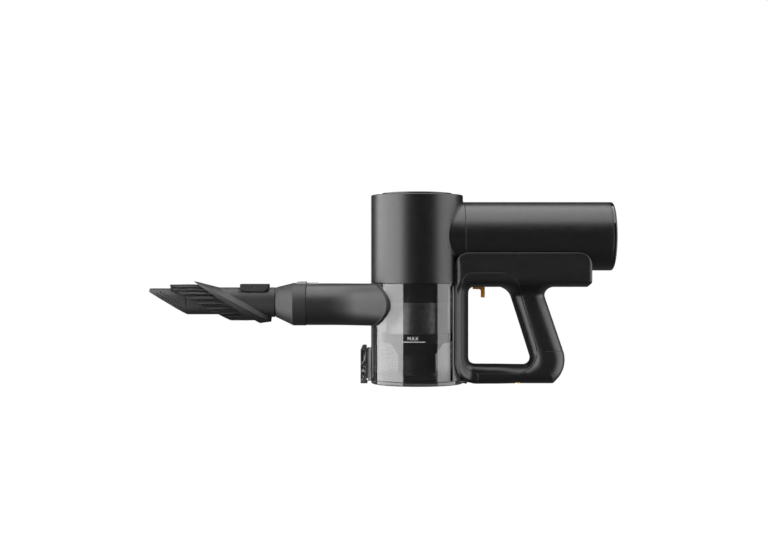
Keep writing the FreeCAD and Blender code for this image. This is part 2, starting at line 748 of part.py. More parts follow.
def make_tool():
    collar = turned("tool_collar_body", [
        ("spigot_radius - 2.2", "collar_front"),
        ("collar_radius", "collar_front"),
        ("collar_radius", "duct_front - 1"),
        ("collar_radius - 0.6", "duct_front - 0.4"),
        ("spigot_radius", "duct_front - 0.4"),
        ("spigot_radius", "spigot_end - 0.6"),
        ("spigot_radius - 0.6", "spigot_end"),
        ("spigot_radius - 2.2", "spigot_end"),
    ], ("0", "0", "duct_up"), "X")
    button_slot = block("collar_slot", ("duct_front - 12.4", "duct_front + 1"), ("-7.4", "7.4"),
                        ("duct_up + 23", "duct_up + 30"))
    spring_hole = rod("collar_spring_hole", "Z", "2.2", ("duct_front - 6", "0", "duct_up + 21.3"), "3")
    node(cut("tool_collar_cut", collar, button_slot, spring_hole), "tool_collar")

    rear = ("collar_front", "0", "duct_up")
    front = ("cone_front", "0", "sleeve_up")
    skin = loft("tool_cone_skin", oval("cone_big", "collar_radius", "collar_radius", rear),
                oval("cone_small", "sleeve_half", "sleeve_width", front))
    bore = loft("tool_cone_bore", oval("cone_big_bore", "collar_radius - 1.8", "collar_radius - 1.8", rear),
                oval("cone_small_bore", "sleeve_half - 1", "sleeve_width - 1.2", front))
    node(cut("tool_cone_cut", skin, bore), "tool_cone")

    bar = stadium("crevice_bar", "tube_half", "tube_width", "tube_up", "tip_far",
                  "cone_front + 3 - tip_far")
    hollow = stadium("crevice_hollow", "tube_half - tube_wall", "tube_width - tube_wall", "tube_up",
                     "tip_far - 1", "cone_front + 5 - tip_far")
    mouth = side_plate("crevice_mouth", [
        ("tip_far - 10", "tube_up + 17.5"),
        ("mouth_low_far + 10", "tube_up - 21.6"),
        ("mouth_low_far + 10", "tube_up - 40"),
        ("tip_far - 10", "tube_up - 40"),
    ], "60")
    slot = block("crevice_slot", ("mouth_low_far - 1.3", "mouth_low_far + 0.3"), ("-20", "20"),
                 ("tube_up - 5.6", "tube_up + 4"))
    bleeds = []
    for row_name, count, far, up in (("upper", 8, "tip_far + 14.2", "tube_up + 11.1"),
                                     ("lower", 9, "tip_far + 10.2", "tube_up + 9.2")):
        for step in range(count):
            spot = (f"{far} + {step} * bleed_step", "-20", f"{up} - {step} * bleed_drop")
            bleeds.append(rod(f"bleed_{row_name}_{step}", "Y", "bleed_radius", spot, "40"))
    node(cut("crevice_tube_cut", bar, hollow, mouth, slot, join("crevice_bleeds", *bleeds)), "crevice_tube")


def make_release_button():
    pad = side_plate("release_pad", [
        ("duct_front - 12", "button_top - 2.7"),
        ("duct_front - 12", "button_top - 0.6"),
        ("duct_front - 8", "button_top"),
        ("duct_front - 0.4", "button_top"),
        ("duct_front - 0.4", "button_top - 2.7"),
    ], "14")
    tongue = block("release_tongue", ("duct_front - 1", "spigot_end - 1"), ("-5.5", "5.5"),
                   ("button_top - 2.7", "button_top - 1.4"))
    node(join("release_button_set", pad, tongue), "release_button")
    node(spring("release_spring_body", 1.6, 0.25, 4, 3.0, ("duct_front - 6", "0", "duct_up + 21.4"), "Z"),
         "release_spring")


def make_brush():
    rim = ("rim_far", "0", "sleeve_up")
    crease = ("crease_far", "0", "sleeve_up + 0.4")
    rear = ("shroud_rear_far", "0", "sleeve_up")
    skin = loft("shroud_skin", oval("shroud_rim", "rim_half", "rim_width", rim, -57.7),
                oval("shroud_crease", "crease_half", "crease_width", crease, -61.5),
                oval("shroud_rear", "shroud_rear_half", "sleeve_width + 0.4", rear, -60.6))
    inside = stadium("shroud_hole", "sleeve_half", "sleeve_width", "sleeve_up", "-290", "140")
    node(cut("brush_shroud_cut", skin, inside), "brush_shroud")

    bar = stadium("sleeve_bar", "sleeve_half", "sleeve_width", "sleeve_up", "-266", "sleeve_rear + 266")
    hollow = stadium("sleeve_hollow", "tube_half + tool_gap", "tube_width + tool_gap", "tube_up", "-290",
                     "140")
    front_cut = side_plate("sleeve_front_cut", [
        ("-277.2", "sleeve_up + 31.3"),
        ("-180", "sleeve_up - 30.2"),
        ("-290", "sleeve_up - 30.2"),
        ("-290", "sleeve_up + 31.3"),
    ], "80")
    pockets = [
        block(f"sleeve_pocket_{number}", across, ("-20", "20"), ("rocker_low - 1.4", "130"))
        for number, across in enumerate((
            ("rocker_front - 1.8", "rocker_far - 3"), ("rocker_far + 3", "rocker_rear + 1.6"),
        ))
    ]
    rib = block("sleeve_rib", ("rocker_far - 2.5", "rocker_far + 2.5"), ("-8.8", "8.8"),
                ("rocker_low", "rocker_up + 2.2"))
    pin_bore = rod("sleeve_pin_bore", "Y", "pin_radius + 0.02", ("rocker_far", "-20", "rocker_up"), "40")
    with_rib = join("sleeve_with_rib", cut("sleeve_shell", bar, front_cut, *pockets), rib)
    node(cut("brush_sleeve_cut", with_rib, hollow, pin_bore), "brush_sleeve")

    tufts = side_plate("bristle_zone", [
        ("-262.2", "118.7"),
        ("-296.4", "118.7"),
        ("-294", "113.4"),
        ("-221.6", "74.3"),
        ("-192.3", "74.3"),
    ], "60")
    ring = loft("bristle_ring", oval("bristle_front", "22", "17.2", ("-300", "0", "sleeve_up - 0.3")),
                oval("bristle_rear", "22", "17.2", ("-185", "0", "sleeve_up - 0.3")))
    clear_of_tube = stadium("bristle_hole", "sleeve_half + 0.2", "sleeve_width + 0.2", "sleeve_up",
                            "-310", "140")
    node(cut("bristles_cut", overlap("bristle_common", tufts, ring), clear_of_tube), "bristles")


def make_rocker():
    outline = side_plate("rocker_outline", [
        ("rocker_front", "rocker_top"),
        ("rocker_front", "rocker_low + 3.5"),
        ("rocker_front + 6.2", "rocker_low"),
        ("rocker_rear - 5.4", "rocker_low"),
        ("rocker_rear", "rocker_low + 3.5"),
        ("rocker_rear", "rocker_top"),
    ], "2 * rocker_half", ((2, "4"), (3, "4"), (0, "1"), (5, "1")))
    over_tube = stadium("rocker_tube_gap", "tube_half + 1.6", "tube_width + 1.6", "tube_up",
                        "rocker_front - 3.8", "45")
    over_wall = stadium("rocker_wall_gap", "sleeve_half + 0.4", "sleeve_width + 0.4", "sleeve_up",
                        "rocker_far - 3.7", "7.4")
    over_rib = block("rocker_rib_gap", ("rocker_far - 3.1", "rocker_far + 3.1"), ("-9.2", "9.2"),
                     ("rocker_low - 5", "rocker_up + 2.6"))
    bore = rod("rocker_bore", "Y", "pin_radius + pin_fit", ("rocker_far", "-15", "rocker_up"), "30")
    node(cut("lock_rocker_cut", outline, over_tube, over_wall, over_rib, bore), "lock_rocker")
    node(rod("rocker_pin_bar", "Y", "pin_radius", ("rocker_far", "-12", "rocker_up"), "24"), "rocker_pin")


# ---------------------------------------------------------------- handle
def tilted_block(name, half_depth, half_width, low, high):
    """A box that leans with the grip; low and high are measured up the grip from its foot."""
    item = doc.addObject("Part::Box", name)
    bind(item, Length=f"2 * ({half_depth})", Width=f"2 * ({half_width})", Height=f"({high}) - ({low})")
    lean = Rotation(Vector(0, 1, 0), value("grip_tilt"))
    foot = Vector(value("grip_foot_far"), 0, value("grip_foot_up"))
    corner = Vector(-value(half_depth), -value(half_width), value(low))
    item.Placement = FreeCAD.Placement(foot + lean.multVec(corner), lean)
    return item


def handle_blank():
    """The whole handle before it is divided: outline, width, hand opening and room for its neighbours."""
    outline = side_plate("handle_outline", [
        ("block_front", "block_top"),
        ("block_rear", "block_top"),
        ("block_rear", "block_low + 4.7"),
        ("block_rear - 4", "block_low"),
        ("grip_root", "block_low"),
        ("heel_far", "heel_up"),
        ("sole_end", "0"),
        ("block_front", "0"),
    ], "2 * block_half", ((0, "16"), (1, "16"), (4, "9"), (5, "34"), (6, "4"), (7, "28")))
    opening = side_plate("handle_opening", [
        ("hole_front", "hole_top"),
        ("hole_top_far", "hole_top"),
        ("hole_low_far", "hole_low"),
        ("hole_front", "hole_low"),
    ], "2 * block_half + 4", ((0, "6"), (1, "16.3"), (2, "8"), (3, "9.5")))

    width = plan_plate("handle_width", "YZ_Plane", mirrored([
        ("block_half - 4", "block_top + 1"),
        ("block_half", "block_top - 4"),
        ("block_half", "block_low + 4"),
        ("block_half - 4", "block_low"),
        ("grip_half + 7", "block_low - 5"),
        ("grip_half + 2", "block_low - 13"),
        ("grip_half", "block_low - 23"),
        ("grip_half", "3"),
        ("grip_half - 3", "-1"),
    ]), "block_rear - block_front + 2", ("block_front - 1", "0", "0"))
    bar = plan_plate("handle_bar_width", "XY_Plane", [
        ("block_front - 1", "-bar_half + 3"),
        ("block_front + 2", "-bar_half"),
        ("block_front + 18", "-grip_half - 2"),
        ("block_front + 24", "-grip_half"),
        ("block_front + 24", "grip_half"),
        ("block_front + 18", "grip_half + 2"),
        ("block_front + 2", "bar_half"),
        ("block_front - 1", "bar_half - 3"),
    ], "block_low + 5", ("0", "0", "-1"))
    whole = overlap("handle_whole", outline, join("handle_envelope", width, bar))

    trough = rod("handle_trough", "X", "barrel_radius + handle_gap", ("20", "0", "barrel_up"), "220")
    cup_room = rod("handle_cup_room", "Z", "cup_radius + cup_gap", ("0", "0", "-2"), "housing_low")
    housing_room = rod("handle_housing_room", "Z", "cup_radius + handle_gap", ("0", "0", "housing_low - 3"),
                       "50")
    hinge_room = block("handle_hinge_room", ("40", "hinge_far + 5"), ("-16", "16"), ("-2", "14"))
    return cut("handle_blank", whole, opening, trough, cup_room, housing_room, hinge_room)


def make_handle():
    blank = handle_blank()
    inner_zone = side_plate("handle_inner_zone", [
        ("seam_front", "seam_top"),
        ("seam_top_far", "seam_top"),
        ("seam_low_far", "seam_low"),
        ("seam_front", "seam_low"),
    ], "2 * block_half + 8", ((0, "12"), (1, "23.4"), (2, "25"), (3, "22")))
    cover_zone = block("handle_cover_zone", ("cover_front", "block_rear"), ("-30", "30"),
                       ("-2", "cover_top"))

    block_room = block("handle_block_room", ("hole_front", "block_rear - handle_wall"),
                       ("handle_wall - block_half", "block_half - handle_wall"),
                       ("block_low + handle_wall", "150"))
    trough_wall = rod("handle_trough_wall", "X", "barrel_radius + handle_gap + trough_wall",
                      ("20", "0", "barrel_up"), "220")
    bosses = [
        rod(f"screw_boss_{number}", "Y", "screw_head_radius + 1.2", (across, "-45", up), "90")
        for number, (across, up, _) in enumerate(SCREWS[:2])
    ]
    block_hollow = cut("handle_block_hollow", block_room, trough_wall, *bosses)
    grip_hollow = tilted_block("handle_grip_hollow", "14", "16", "0", "95")
    trigger_slot = block("trigger_slot", ("trigger_front + 2.9", "trigger_rear + 1"), ("-4.4", "4.4"),
                         ("block_low - 1", "130"))
    spring_room = rod("trigger_spring_room", "X", "3", ("trigger_rear - 5", "0", "122"), "11.5")
    switch_room = block("trigger_switch_room", ("trigger_rear + 1", "trigger_rear + 14"), ("-4", "4"),
                        ("125.6", "132"))
    contacts_room = join("contacts_room", *(
        rod(f"contact_room_{side}", "Z", "contact_radius + 0.1", ("contact_far", deep, "-1"), "4")
        for side, deep in CONTACTS
    ))

    node(cut("handle_liner_cut", overlap("handle_liner_blank", blank, inner_zone), block_hollow,
             grip_hollow, trigger_slot, spring_room, switch_room), "handle_liner")
    outer = cut("handle_outer", blank, inner_zone)
    node(cut("handle_cover_cut", overlap("handle_cover_blank", outer, cover_zone), grip_hollow,
             contacts_room), "handle_base_cover")

    screws = []
    holes = []
    for number, (across, up, head) in enumerate(SCREWS):
        for kind, grow, head_length, items in (("screw", "0", "2", screws), ("hole", "0.05", "30", holes)):
            items.append(rod(f"{kind}_shank_{number}", "Y", f"screw_radius + {grow}", (across, "-14", up),
                             f"{head} + 14"))
            items.append(rod(f"{kind}_head_{number}", "Y", f"screw_head_radius + {grow}",
                             (across, head, up), head_length))
    node(join("handle_screws_set", *screws), "handle_screws")
    shells = cut("handle_shells", outer, cover_zone, block_hollow, grip_hollow, join("screw_holes", *holes))
    for side, low, high in (("right", "-50", "0"), ("left", "0", "50")):
        half = block(f"handle_{side}_zone", ("0", "260"), (low, high), ("-5", "200"))
        node(overlap(f"handle_shell_{side}_common", shells, half), f"handle_shell_{side}")

    cells = [
        tilted_block(f"battery_cell_{number}", "13", "3.4", "2", "80") for number in range(4)
    ]
    for number, cell in enumerate(cells):
        cell.Placement.Base.y += (number - 1.5) * value("cell_pitch")
    node(join("battery_cells_set", *cells), "battery_cells")
    node(tilted_block("battery_board_plate", "13", "14", "83", "84.6"), "battery_board")
    node(join("charging_contacts_set", *(
        rod(f"contact_{side}", "Z", "contact_radius", ("contact_far", deep, "0.3"), "2.5")
        for side, deep in CONTACTS
    )), "charging_contacts")


def make_trigger():
    blade = side_plate("trigger_blade", [
        ("trigger_front", "trigger_roof - 2.4"),
        ("trigger_front", "trigger_roof"),
        ("trigger_rear", "trigger_roof"),
        ("trigger_rear", "trigger_low"),
        ("trigger_rear - 4.2", "trigger_low"),
        ("trigger_rear - 4.2", "trigger_roof - 2.4"),
    ], "12", ((5, "3"),))
    stem = block("trigger_stem", ("trigger_front + 3.4", "trigger_front + 9"), ("-4", "4"),
                 ("trigger_roof - 0.5", "127"))
    node(join("trigger_set", blade, stem), "trigger")
    node(block("trigger_switch_body", ("trigger_rear + 1.2", "trigger_rear + 13.8"), ("-3.9", "3.9"),
               ("125.7", "131.8")), "trigger_switch")
    node(spring("trigger_spring_body", 2.2, 0.35, 6, 10.5, ("trigger_front + 9.1", "0", "122"), "X"),
         "trigger_spring")


# ---------------------------------------------------------------- build, check and write
make_housing()
make_barrel()
make_motor()
make_filter()
make_cyclone()
make_duct()
make_cup()
make_lid()
make_latch()
make_tool()
make_release_button()
make_brush()
make_rocker()
make_handle()
make_trigger()
doc.recompute()

for item in doc.Objects:
    if {"Invalid", "Error"} & set(item.State):
        raise RuntimeError(f"{item.Name} ({item.Label}) did not build: {item.State}")
for item in nodes:
    if item.Shape.isNull() or not item.Shape.isValid() or not item.Shape.Solids:
        raise RuntimeError(f"{item.Label} has no valid solid")

os.makedirs("parts", exist_ok=True)
for item in nodes:
    item.Shape.exportStep(f"parts/{item.Label}.step")
    print(item.Label, len(item.Shape.Solids), round(item.Shape.Volume, 1))
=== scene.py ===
"""The looks of a handheld vacuum cleaner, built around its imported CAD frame.

The script's own unit is the millimetre, in the frame's axes: -X is the nozzle's end, +X the rear end
and +Z is up. Meshes are scaled to metres as they are made. The camera, the lights and the floor are in
metres.
"""

import json
import math
import random

import bmesh
import bpy
import numpy as np
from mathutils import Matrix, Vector, geometry


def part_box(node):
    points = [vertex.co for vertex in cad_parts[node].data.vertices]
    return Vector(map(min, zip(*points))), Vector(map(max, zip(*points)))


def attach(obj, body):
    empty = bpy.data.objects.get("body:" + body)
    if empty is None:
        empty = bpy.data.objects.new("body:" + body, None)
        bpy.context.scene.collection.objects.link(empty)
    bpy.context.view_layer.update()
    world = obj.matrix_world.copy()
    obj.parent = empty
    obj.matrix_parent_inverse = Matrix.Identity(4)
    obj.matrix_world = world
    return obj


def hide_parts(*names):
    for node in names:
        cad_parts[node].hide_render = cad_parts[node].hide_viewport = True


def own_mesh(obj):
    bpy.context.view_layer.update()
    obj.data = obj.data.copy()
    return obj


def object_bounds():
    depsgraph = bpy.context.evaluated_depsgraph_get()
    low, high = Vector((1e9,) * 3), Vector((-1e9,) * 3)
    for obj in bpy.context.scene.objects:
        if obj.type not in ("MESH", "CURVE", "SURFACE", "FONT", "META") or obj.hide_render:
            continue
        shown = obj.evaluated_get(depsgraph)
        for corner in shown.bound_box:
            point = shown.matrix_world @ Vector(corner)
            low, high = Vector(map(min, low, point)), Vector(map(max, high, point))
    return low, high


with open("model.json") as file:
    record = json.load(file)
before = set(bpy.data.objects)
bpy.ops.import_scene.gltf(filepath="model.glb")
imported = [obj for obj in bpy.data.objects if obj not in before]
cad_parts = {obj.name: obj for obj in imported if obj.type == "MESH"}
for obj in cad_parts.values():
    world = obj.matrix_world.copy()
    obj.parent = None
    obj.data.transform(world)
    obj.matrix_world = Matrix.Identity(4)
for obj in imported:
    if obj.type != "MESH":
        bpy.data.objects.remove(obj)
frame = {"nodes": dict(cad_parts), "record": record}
cad_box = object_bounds()

MM = 0.001


def span(node):
    """A CAD node's lowest and highest corners in millimetres."""
    low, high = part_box(node)
    return low / MM, high / MM


# ---------------------------------------------------------------- camera, lights, world and floor
CAMERA_AT = (-0.0396, -1.6, 0.1368)
CAMERA_LENS = 62.5
FLOOR_REACH = 3.0
FLOOR_DROP = 0.26


def make_camera():
    """Level and square to the cleaner's right side."""
    data = bpy.data.cameras.new("camera")
    data.lens = CAMERA_LENS
    data.sensor_width = 36.0
    camera = bpy.data.objects.new("camera", data)
    camera.location = CAMERA_AT
    camera.rotation_euler = (math.radians(90), 0, 0)
    bpy.context.scene.collection.objects.link(camera)
    bpy.context.scene.camera = camera


def softbox(name, azimuth, elevation, reach, width, height, power, target=(0.0, 0.0, 0.13)):
    """A rectangular light; azimuth is measured from the camera's side towards -X."""
    turn = math.radians(azimuth)
    rise = math.radians(elevation)
    data = bpy.data.lights.new(name, "AREA")
    data.shape = "RECTANGLE"
    data.size = width
    data.size_y = height
    data.energy = power
    light = bpy.data.objects.new(name, data)
    away = Vector((-math.sin(turn) * math.cos(rise), -math.cos(turn) * math.cos(rise), math.sin(rise)))
    light.location = Vector(target) + away * reach
    light.rotation_euler = away.to_track_quat("Z", "Y").to_euler()
    light.visible_camera = False
    bpy.context.scene.collection.objects.link(light)


def make_lights():
    """A large softbox at each side and one above."""
    softbox("left_softbox", 77, 4, 1.2, 2.1, 2.2, 84)
    softbox("right_softbox", -80, 4, 1.2, 1.35, 2.2, 31)
    softbox("top_softbox", 0, 82, 1.35, 1.5, 2.0, 40)


def make_world():
    """White where the camera sees it; for reflections dim above and pale below."""
    world = bpy.data.worlds.new("studio")
    bpy.context.scene.world = world
    world.use_nodes = True
    tree = world.node_tree
    tree.nodes.clear()
    coords = tree.nodes.new("ShaderNodeTexCoord")
    split = tree.nodes.new("ShaderNodeSeparateXYZ")
    ramp = tree.nodes.new("ShaderNodeValToRGB")
    ramp.color_ramp.elements[0].position = 0.35
    ramp.color_ramp.elements[0].color = (0.16, 0.16, 0.16, 1)
    ramp.color_ramp.elements[1].position = 0.52
    ramp.color_ramp.elements[1].color = (0.012, 0.012, 0.012, 1)
    shift = tree.nodes.new("ShaderNodeMath")
    shift.operation = "MULTIPLY_ADD"
    shift.inputs[1].default_value = 0.5
    shift.inputs[2].default_value = 0.5
    dim = tree.nodes.new("ShaderNodeBackground")
    white = tree.nodes.new("ShaderNodeBackground")
    white.inputs["Color"].default_value = (1, 1, 1, 1)
    mix = tree.nodes.new("ShaderNodeMixShader")
    path = tree.nodes.new("ShaderNodeLightPath")
    out = tree.nodes.new("ShaderNodeOutputWorld")
    link = tree.links.new
    link(coords.outputs["Generated"], split.inputs[0])
    link(split.outputs["Z"], shift.inputs[0])
    link(shift.outputs[0], ramp.inputs["Fac"])
    link(ramp.outputs["Color"], dim.inputs["Color"])
    link(path.outputs["Is Camera Ray"], mix.inputs[0])
    link(dim.outputs[0], mix.inputs[1])
    link(white.outputs[0], mix.inputs[2])
    link(mix.outputs[0], out.inputs["Surface"])
    bpy.context.scene.view_settings.view_transform = "Standard"


def make_floor():
    """A pale sheet that takes only the faintest shade, low enough for the dust cup's whole travel."""
    data = bpy.data.meshes.new("floor")
    height = cad_box[0].z - FLOOR_DROP
    corners = ((-1, -1), (1, -1), (1, 1), (-1, 1))
    data.from_pydata([(x * FLOOR_REACH, y * FLOOR_REACH, height) for x, y in corners], [], [(0, 1, 2, 3)])
    floor = bpy.data.objects.new("floor", data)
    bpy.context.scene.collection.objects.link(floor)
    make = Maker("floor")
    make.links(Base_Color=make.ramp(make.noise(400, 3), (0.10, 0.10, 0.10), (0.11, 0.11, 0.11)),
               Roughness=make.fit(make.noise(90, 2), 0.85, 0.95))
    make.sets(Emission_Color=(1, 1, 1, 1), Emission_Strength=0.985)
    data.materials.append(make.material)
    floor.visible_glossy = False
    floor.visible_diffuse = False


# ---------------------------------------------------------------- materials
class Maker:
    """Builds one material's nodes around its Principled shader."""

    def __init__(self, name):
        self.material = bpy.data.materials.new(name)
        self.material.use_nodes = True
        self.tree = self.material.node_tree
        self.shader = self.tree.nodes["Principled BSDF"]
        self.place = self.add("ShaderNodeTexCoord").outputs["Object"]

    def add(self, kind, inputs=None, **settings):
        """A node whose inputs are values or other nodes' outputs."""
        node = self.tree.nodes.new(kind)
        for field, value in settings.items():
            setattr(node, field, value)
        for socket, value in (inputs or {}).items():
            if isinstance(value, bpy.types.NodeSocket):
                self.tree.links.new(value, node.inputs[socket])
            else:
                node.inputs[socket].default_value = value
        return node

    def sets(self, **sockets):
        """Puts values on the shader's own sockets."""
        for socket, value in sockets.items():
            self.shader.inputs[socket.replace("_", " ")].default_value = value

    def links(self, **sockets):
        """Joins other nodes' outputs to the shader's own sockets."""
        for socket, output in sockets.items():
            self.tree.links.new(output, self.shader.inputs[socket.replace("_", " ")])

    def noise(self, size, detail=3.0, place=None):
        """Noise whose features are about that many millimetres across."""
        inputs = {"Vector": place or self.place, "Scale": 1 / (size * MM), "Detail": detail}
        return self.add("ShaderNodeTexNoise", inputs).outputs["Fac"]

    def ramp(self, source, low, high, start=0.35, end=0.65):
        """A colour ramp from low to high."""
        node = self.add("ShaderNodeValToRGB", {"Fac": source})
        for element, position, colour in zip(node.color_ramp.elements, (start, end), (low, high)):
            element.position = position
            element.color = (*colour, 1)
        return node.outputs["Color"]

    def maths(self, operation, *values):
        """One sum on values or outputs."""
        return self.add("ShaderNodeMath", dict(enumerate(values)), operation=operation).outputs[0]

    def fit(self, source, low, high, start=0.3, end=0.7):
        """The source's range from start to end, brought to low to high."""
        return self.add("ShaderNodeMapRange", {
            "Value": source, "From Min": start, "From Max": end, "To Min": low, "To Max": high,
        }).outputs["Result"]

    def mix(self, factor, first, second):
        """Two colours mixed; each is a colour or an output."""
        node = self.add("ShaderNodeMix", data_type="RGBA")
        for socket, value in ((0, factor), (6, first), (7, second)):
            if isinstance(value, bpy.types.NodeSocket):
                self.tree.links.new(value, node.inputs[socket])
            else:
                node.inputs[socket].default_value = (*value, 1) if socket else value
        return node.outputs[2]

    def edges(self, radius):
        """The normal rounded over sharp edges, and how near each point is to such an edge."""
        rounded = self.add("ShaderNodeBevel", {"Radius": radius * MM}, samples=4).outputs["Normal"]
        flat = self.add("ShaderNodeNewGeometry").outputs["Normal"]
        agree = self.add("ShaderNodeVectorMath", {0: rounded, 1: flat}, operation="DOT_PRODUCT")
        return rounded, self.fit(agree.outputs["Value"], 1.0, 0.0, 0.86, 0.999)

    def bump(self, height, depth, normal=None):
        """A normal whose relief is that many millimetres deep."""
        inputs = {"Height": height, "Distance": depth * MM, "Strength": 1.0}
        if normal:
            inputs["Normal"] = normal
        return self.add("ShaderNodeBump", inputs).outputs["Normal"]


def shade(colour, factor):
    """A colour made darker or paler."""
    return tuple(part * factor for part in colour)


def moulded(name, colour, roughness, grain=0.35, depth=0.012, wear_and_highlight=2.2, edge=0.35, specular=0.5):
    """Moulded plastic: spark-eroded grain, slow changes of tone and gloss, and edges painted paler in
    patches: partly wear, partly a painted highlight.
    """
    make = Maker(name)
    rounded, rim = make.edges(edge)
    slow = make.noise(17, 4)
    fine = make.noise(grain, 2)
    body = make.ramp(slow, shade(colour, 0.86), shade(colour, 1.16))
    speckled = make.mix(make.fit(fine, 0.0, 0.35, 0.55, 0.75), body, shade(colour, 1.7))
    # Paler edges in patches: partly wear, partly a painted highlight along the rims.
    scuff_and_highlight = make.maths("MULTIPLY", rim, make.fit(make.noise(4, 3), 0.15, 0.75))
    make.links(
        Base_Color=make.mix(scuff_and_highlight, speckled, shade(colour, wear_and_highlight)),
        Roughness=make.fit(make.noise(6, 5), roughness - 0.035, roughness + 0.035),
        Normal=make.bump(fine, depth, rounded),
    )
    make.sets(Specular_IOR_Level=specular)
    return make.material


def glossy(name, colour, roughness=0.12, edge=0.3):
    """Polished plastic with a faint orange-peel ripple, a few soft smears and a painted highlight along its
    edges.
    """
    make = Maker(name)
    rounded, rim = make.edges(edge)
    smear = make.noise(22, 5)
    # The edges are painted paler: a painted highlight along every rim.
    make.links(
        Base_Color=make.mix(rim, make.ramp(smear, colour, shade(colour, 1.3)), shade(colour, 1.8)),
        Roughness=make.fit(make.noise(9, 6), roughness * 0.7, roughness * 1.5),
        Normal=make.bump(make.noise(2.6, 1), 0.006, rounded),
    )
    return make.material


def clear_plastic():
    """The cup's smoked clear plastic: darker and denser where it is seen edge on."""
    make = Maker("clear_cup")
    facing = make.add("ShaderNodeLayerWeight", {"Blend": 0.32}).outputs["Facing"]
    haze = make.noise(30, 4)
    make.links(
        Base_Color=make.ramp(haze, (0.010, 0.010, 0.011), (0.016, 0.016, 0.017)),
        Alpha=make.fit(make.maths("POWER", facing, 1.6), 0.40, 0.97, 0.0, 0.75),
        Roughness=make.fit(make.noise(12, 5), 0.015, 0.05),
        Normal=make.bump(make.noise(40, 1), 0.02),
    )
    make.sets(IOR=2.0)
    return make.material


def perforated():
    """Etched steel sheet: rows of fine holes around the cup's axis, painted near black as painted shade for
    the dim inside seen through them.
    """
    make = Maker("mesh_metal")
    x, y, z = make.add("ShaderNodeSeparateXYZ", {0: make.place}).outputs
    pitch = 1.05 * MM
    around = make.maths("MULTIPLY", make.maths("ARCTAN2", y, x), MESH_RADIUS * MM)
    row = make.maths("FLOOR", make.maths("DIVIDE", z, pitch))
    stagger = make.maths("MULTIPLY", make.maths("MODULO", row, 2.0), pitch / 2)
    across = make.maths("PINGPONG", make.maths("ADD", around, stagger), pitch / 2)
    along = make.maths("PINGPONG", z, pitch / 2)
    from_wall = make.maths("ADD", make.maths("POWER", make.maths("SUBTRACT", pitch / 2, across), 2.0),
                           make.maths("POWER", make.maths("SUBTRACT", pitch / 2, along), 2.0))
    hole = make.fit(make.maths("SQRT", from_wall), 1.0, 0.0, 0.26 * MM, 0.34 * MM)
    solid = make.maths("SUBTRACT", 1.0, hole)
    steel = make.ramp(make.noise(5, 4), (0.34, 0.34, 0.35), (0.46, 0.46, 0.47))
    # The holes are painted near black: painted shade standing for the dim inside seen through them.
    make.links(
        Base_Color=make.mix(hole, steel, (0.004, 0.004, 0.004)),
        Metallic=solid,
        Roughness=make.fit(make.noise(3, 4), 0.30, 0.42),
        Normal=make.bump(solid, 0.05),
    )
    return make.material


def metal(name, colour, roughness, lathed=True):
    """Machined metal with fine turning marks along X, and a painted highlight along its edges."""
    make = Maker(name)
    stretched = make.add("ShaderNodeMapping", {
        "Vector": make.place, "Scale": (12, 1, 1) if lathed else (1, 1, 1),
    }).outputs["Vector"]
    marks = make.noise(1.5, 4, stretched)
    rounded, rim = make.edges(0.2)
    # The rims are painted paler: a painted highlight along the edges.
    make.links(
        Base_Color=make.mix(rim, make.ramp(marks, shade(colour, 0.85), colour), shade(colour, 1.15)),
        Roughness=make.fit(marks, roughness - 0.08, roughness + 0.08),
        Normal=make.bump(marks, 0.01, rounded),
    )
    make.sets(Metallic=1.0)
    return make.material


def fibre():
    """Nylon bristle: dark, paler and shinier along some fibres."""
    make = Maker("bristle_fibre")
    streak = make.noise(0.7, 2)
    make.links(
        Base_Color=make.ramp(streak, (0.008, 0.008, 0.008), (0.035, 0.035, 0.036)),
        Roughness=make.fit(make.noise(2, 3), 0.32, 0.5),
        Normal=make.bump(make.noise(0.2, 2), 0.01),
    )
    return make.material


def soft(name, colour, size, depth, roughness=0.85):
    """Rubber, foam or paper: a matte skin with its own texture."""
    make = Maker(name)
    cells = make.noise(size, 4)
    make.links(
        Base_Color=make.ramp(cells, shade(colour, 0.6), shade(colour, 1.2)),
        Roughness=make.fit(make.noise(size * 3, 3), roughness - 0.08, roughness + 0.06),
        Normal=make.bump(cells, depth),
    )
    return make.material


def circuit():
    """A circuit board's solder mask, with faint tracks."""
    make = Maker("board_green")
    tracks = make.add("ShaderNodeTexBrick", {
        "Vector": make.place, "Scale": 1 / (6 * MM), "Mortar Size": 0.02,
        "Color1": (0.012, 0.07, 0.03, 1), "Color2": (0.010, 0.06, 0.025, 1), "Mortar": (0.05, 0.20, 0.09, 1),
    })
    make.links(Base_Color=tracks.outputs["Color"], Roughness=make.fit(make.noise(4, 3), 0.25, 0.4),
               Normal=make.bump(tracks.outputs["Fac"], 0.03))
    return make.material


# ---------------------------------------------------------------- mesh helpers
def piece(name, vertices, faces, body, slot, replaces=(), material=None, sharp=38):
    """A piece from millimetre vertices; it rides on a body and may stand for CAD nodes."""
    data = bpy.data.meshes.new(name)
    data.from_pydata([tuple(part * MM for part in vertex) for vertex in vertices], [], faces)
    made = bmesh.new()
    made.from_mesh(data)
    bmesh.ops.remove_doubles(made, verts=made.verts, dist=0.002 * MM)
    bmesh.ops.dissolve_degenerate(made, edges=made.edges, dist=0.001 * MM)
    bmesh.ops.recalc_face_normals(made, faces=made.faces)
    made.to_mesh(data)
    made.free()
    data.shade_smooth()
    data.set_sharp_from_angle(angle=math.radians(sharp))
    item = bpy.data.objects.new(name, data)
    bpy.context.scene.collection.objects.link(item)
    data.materials.append(material or MATERIALS[slot])
    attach(item, body)
    if replaces:
        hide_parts(*replaces)
    return item


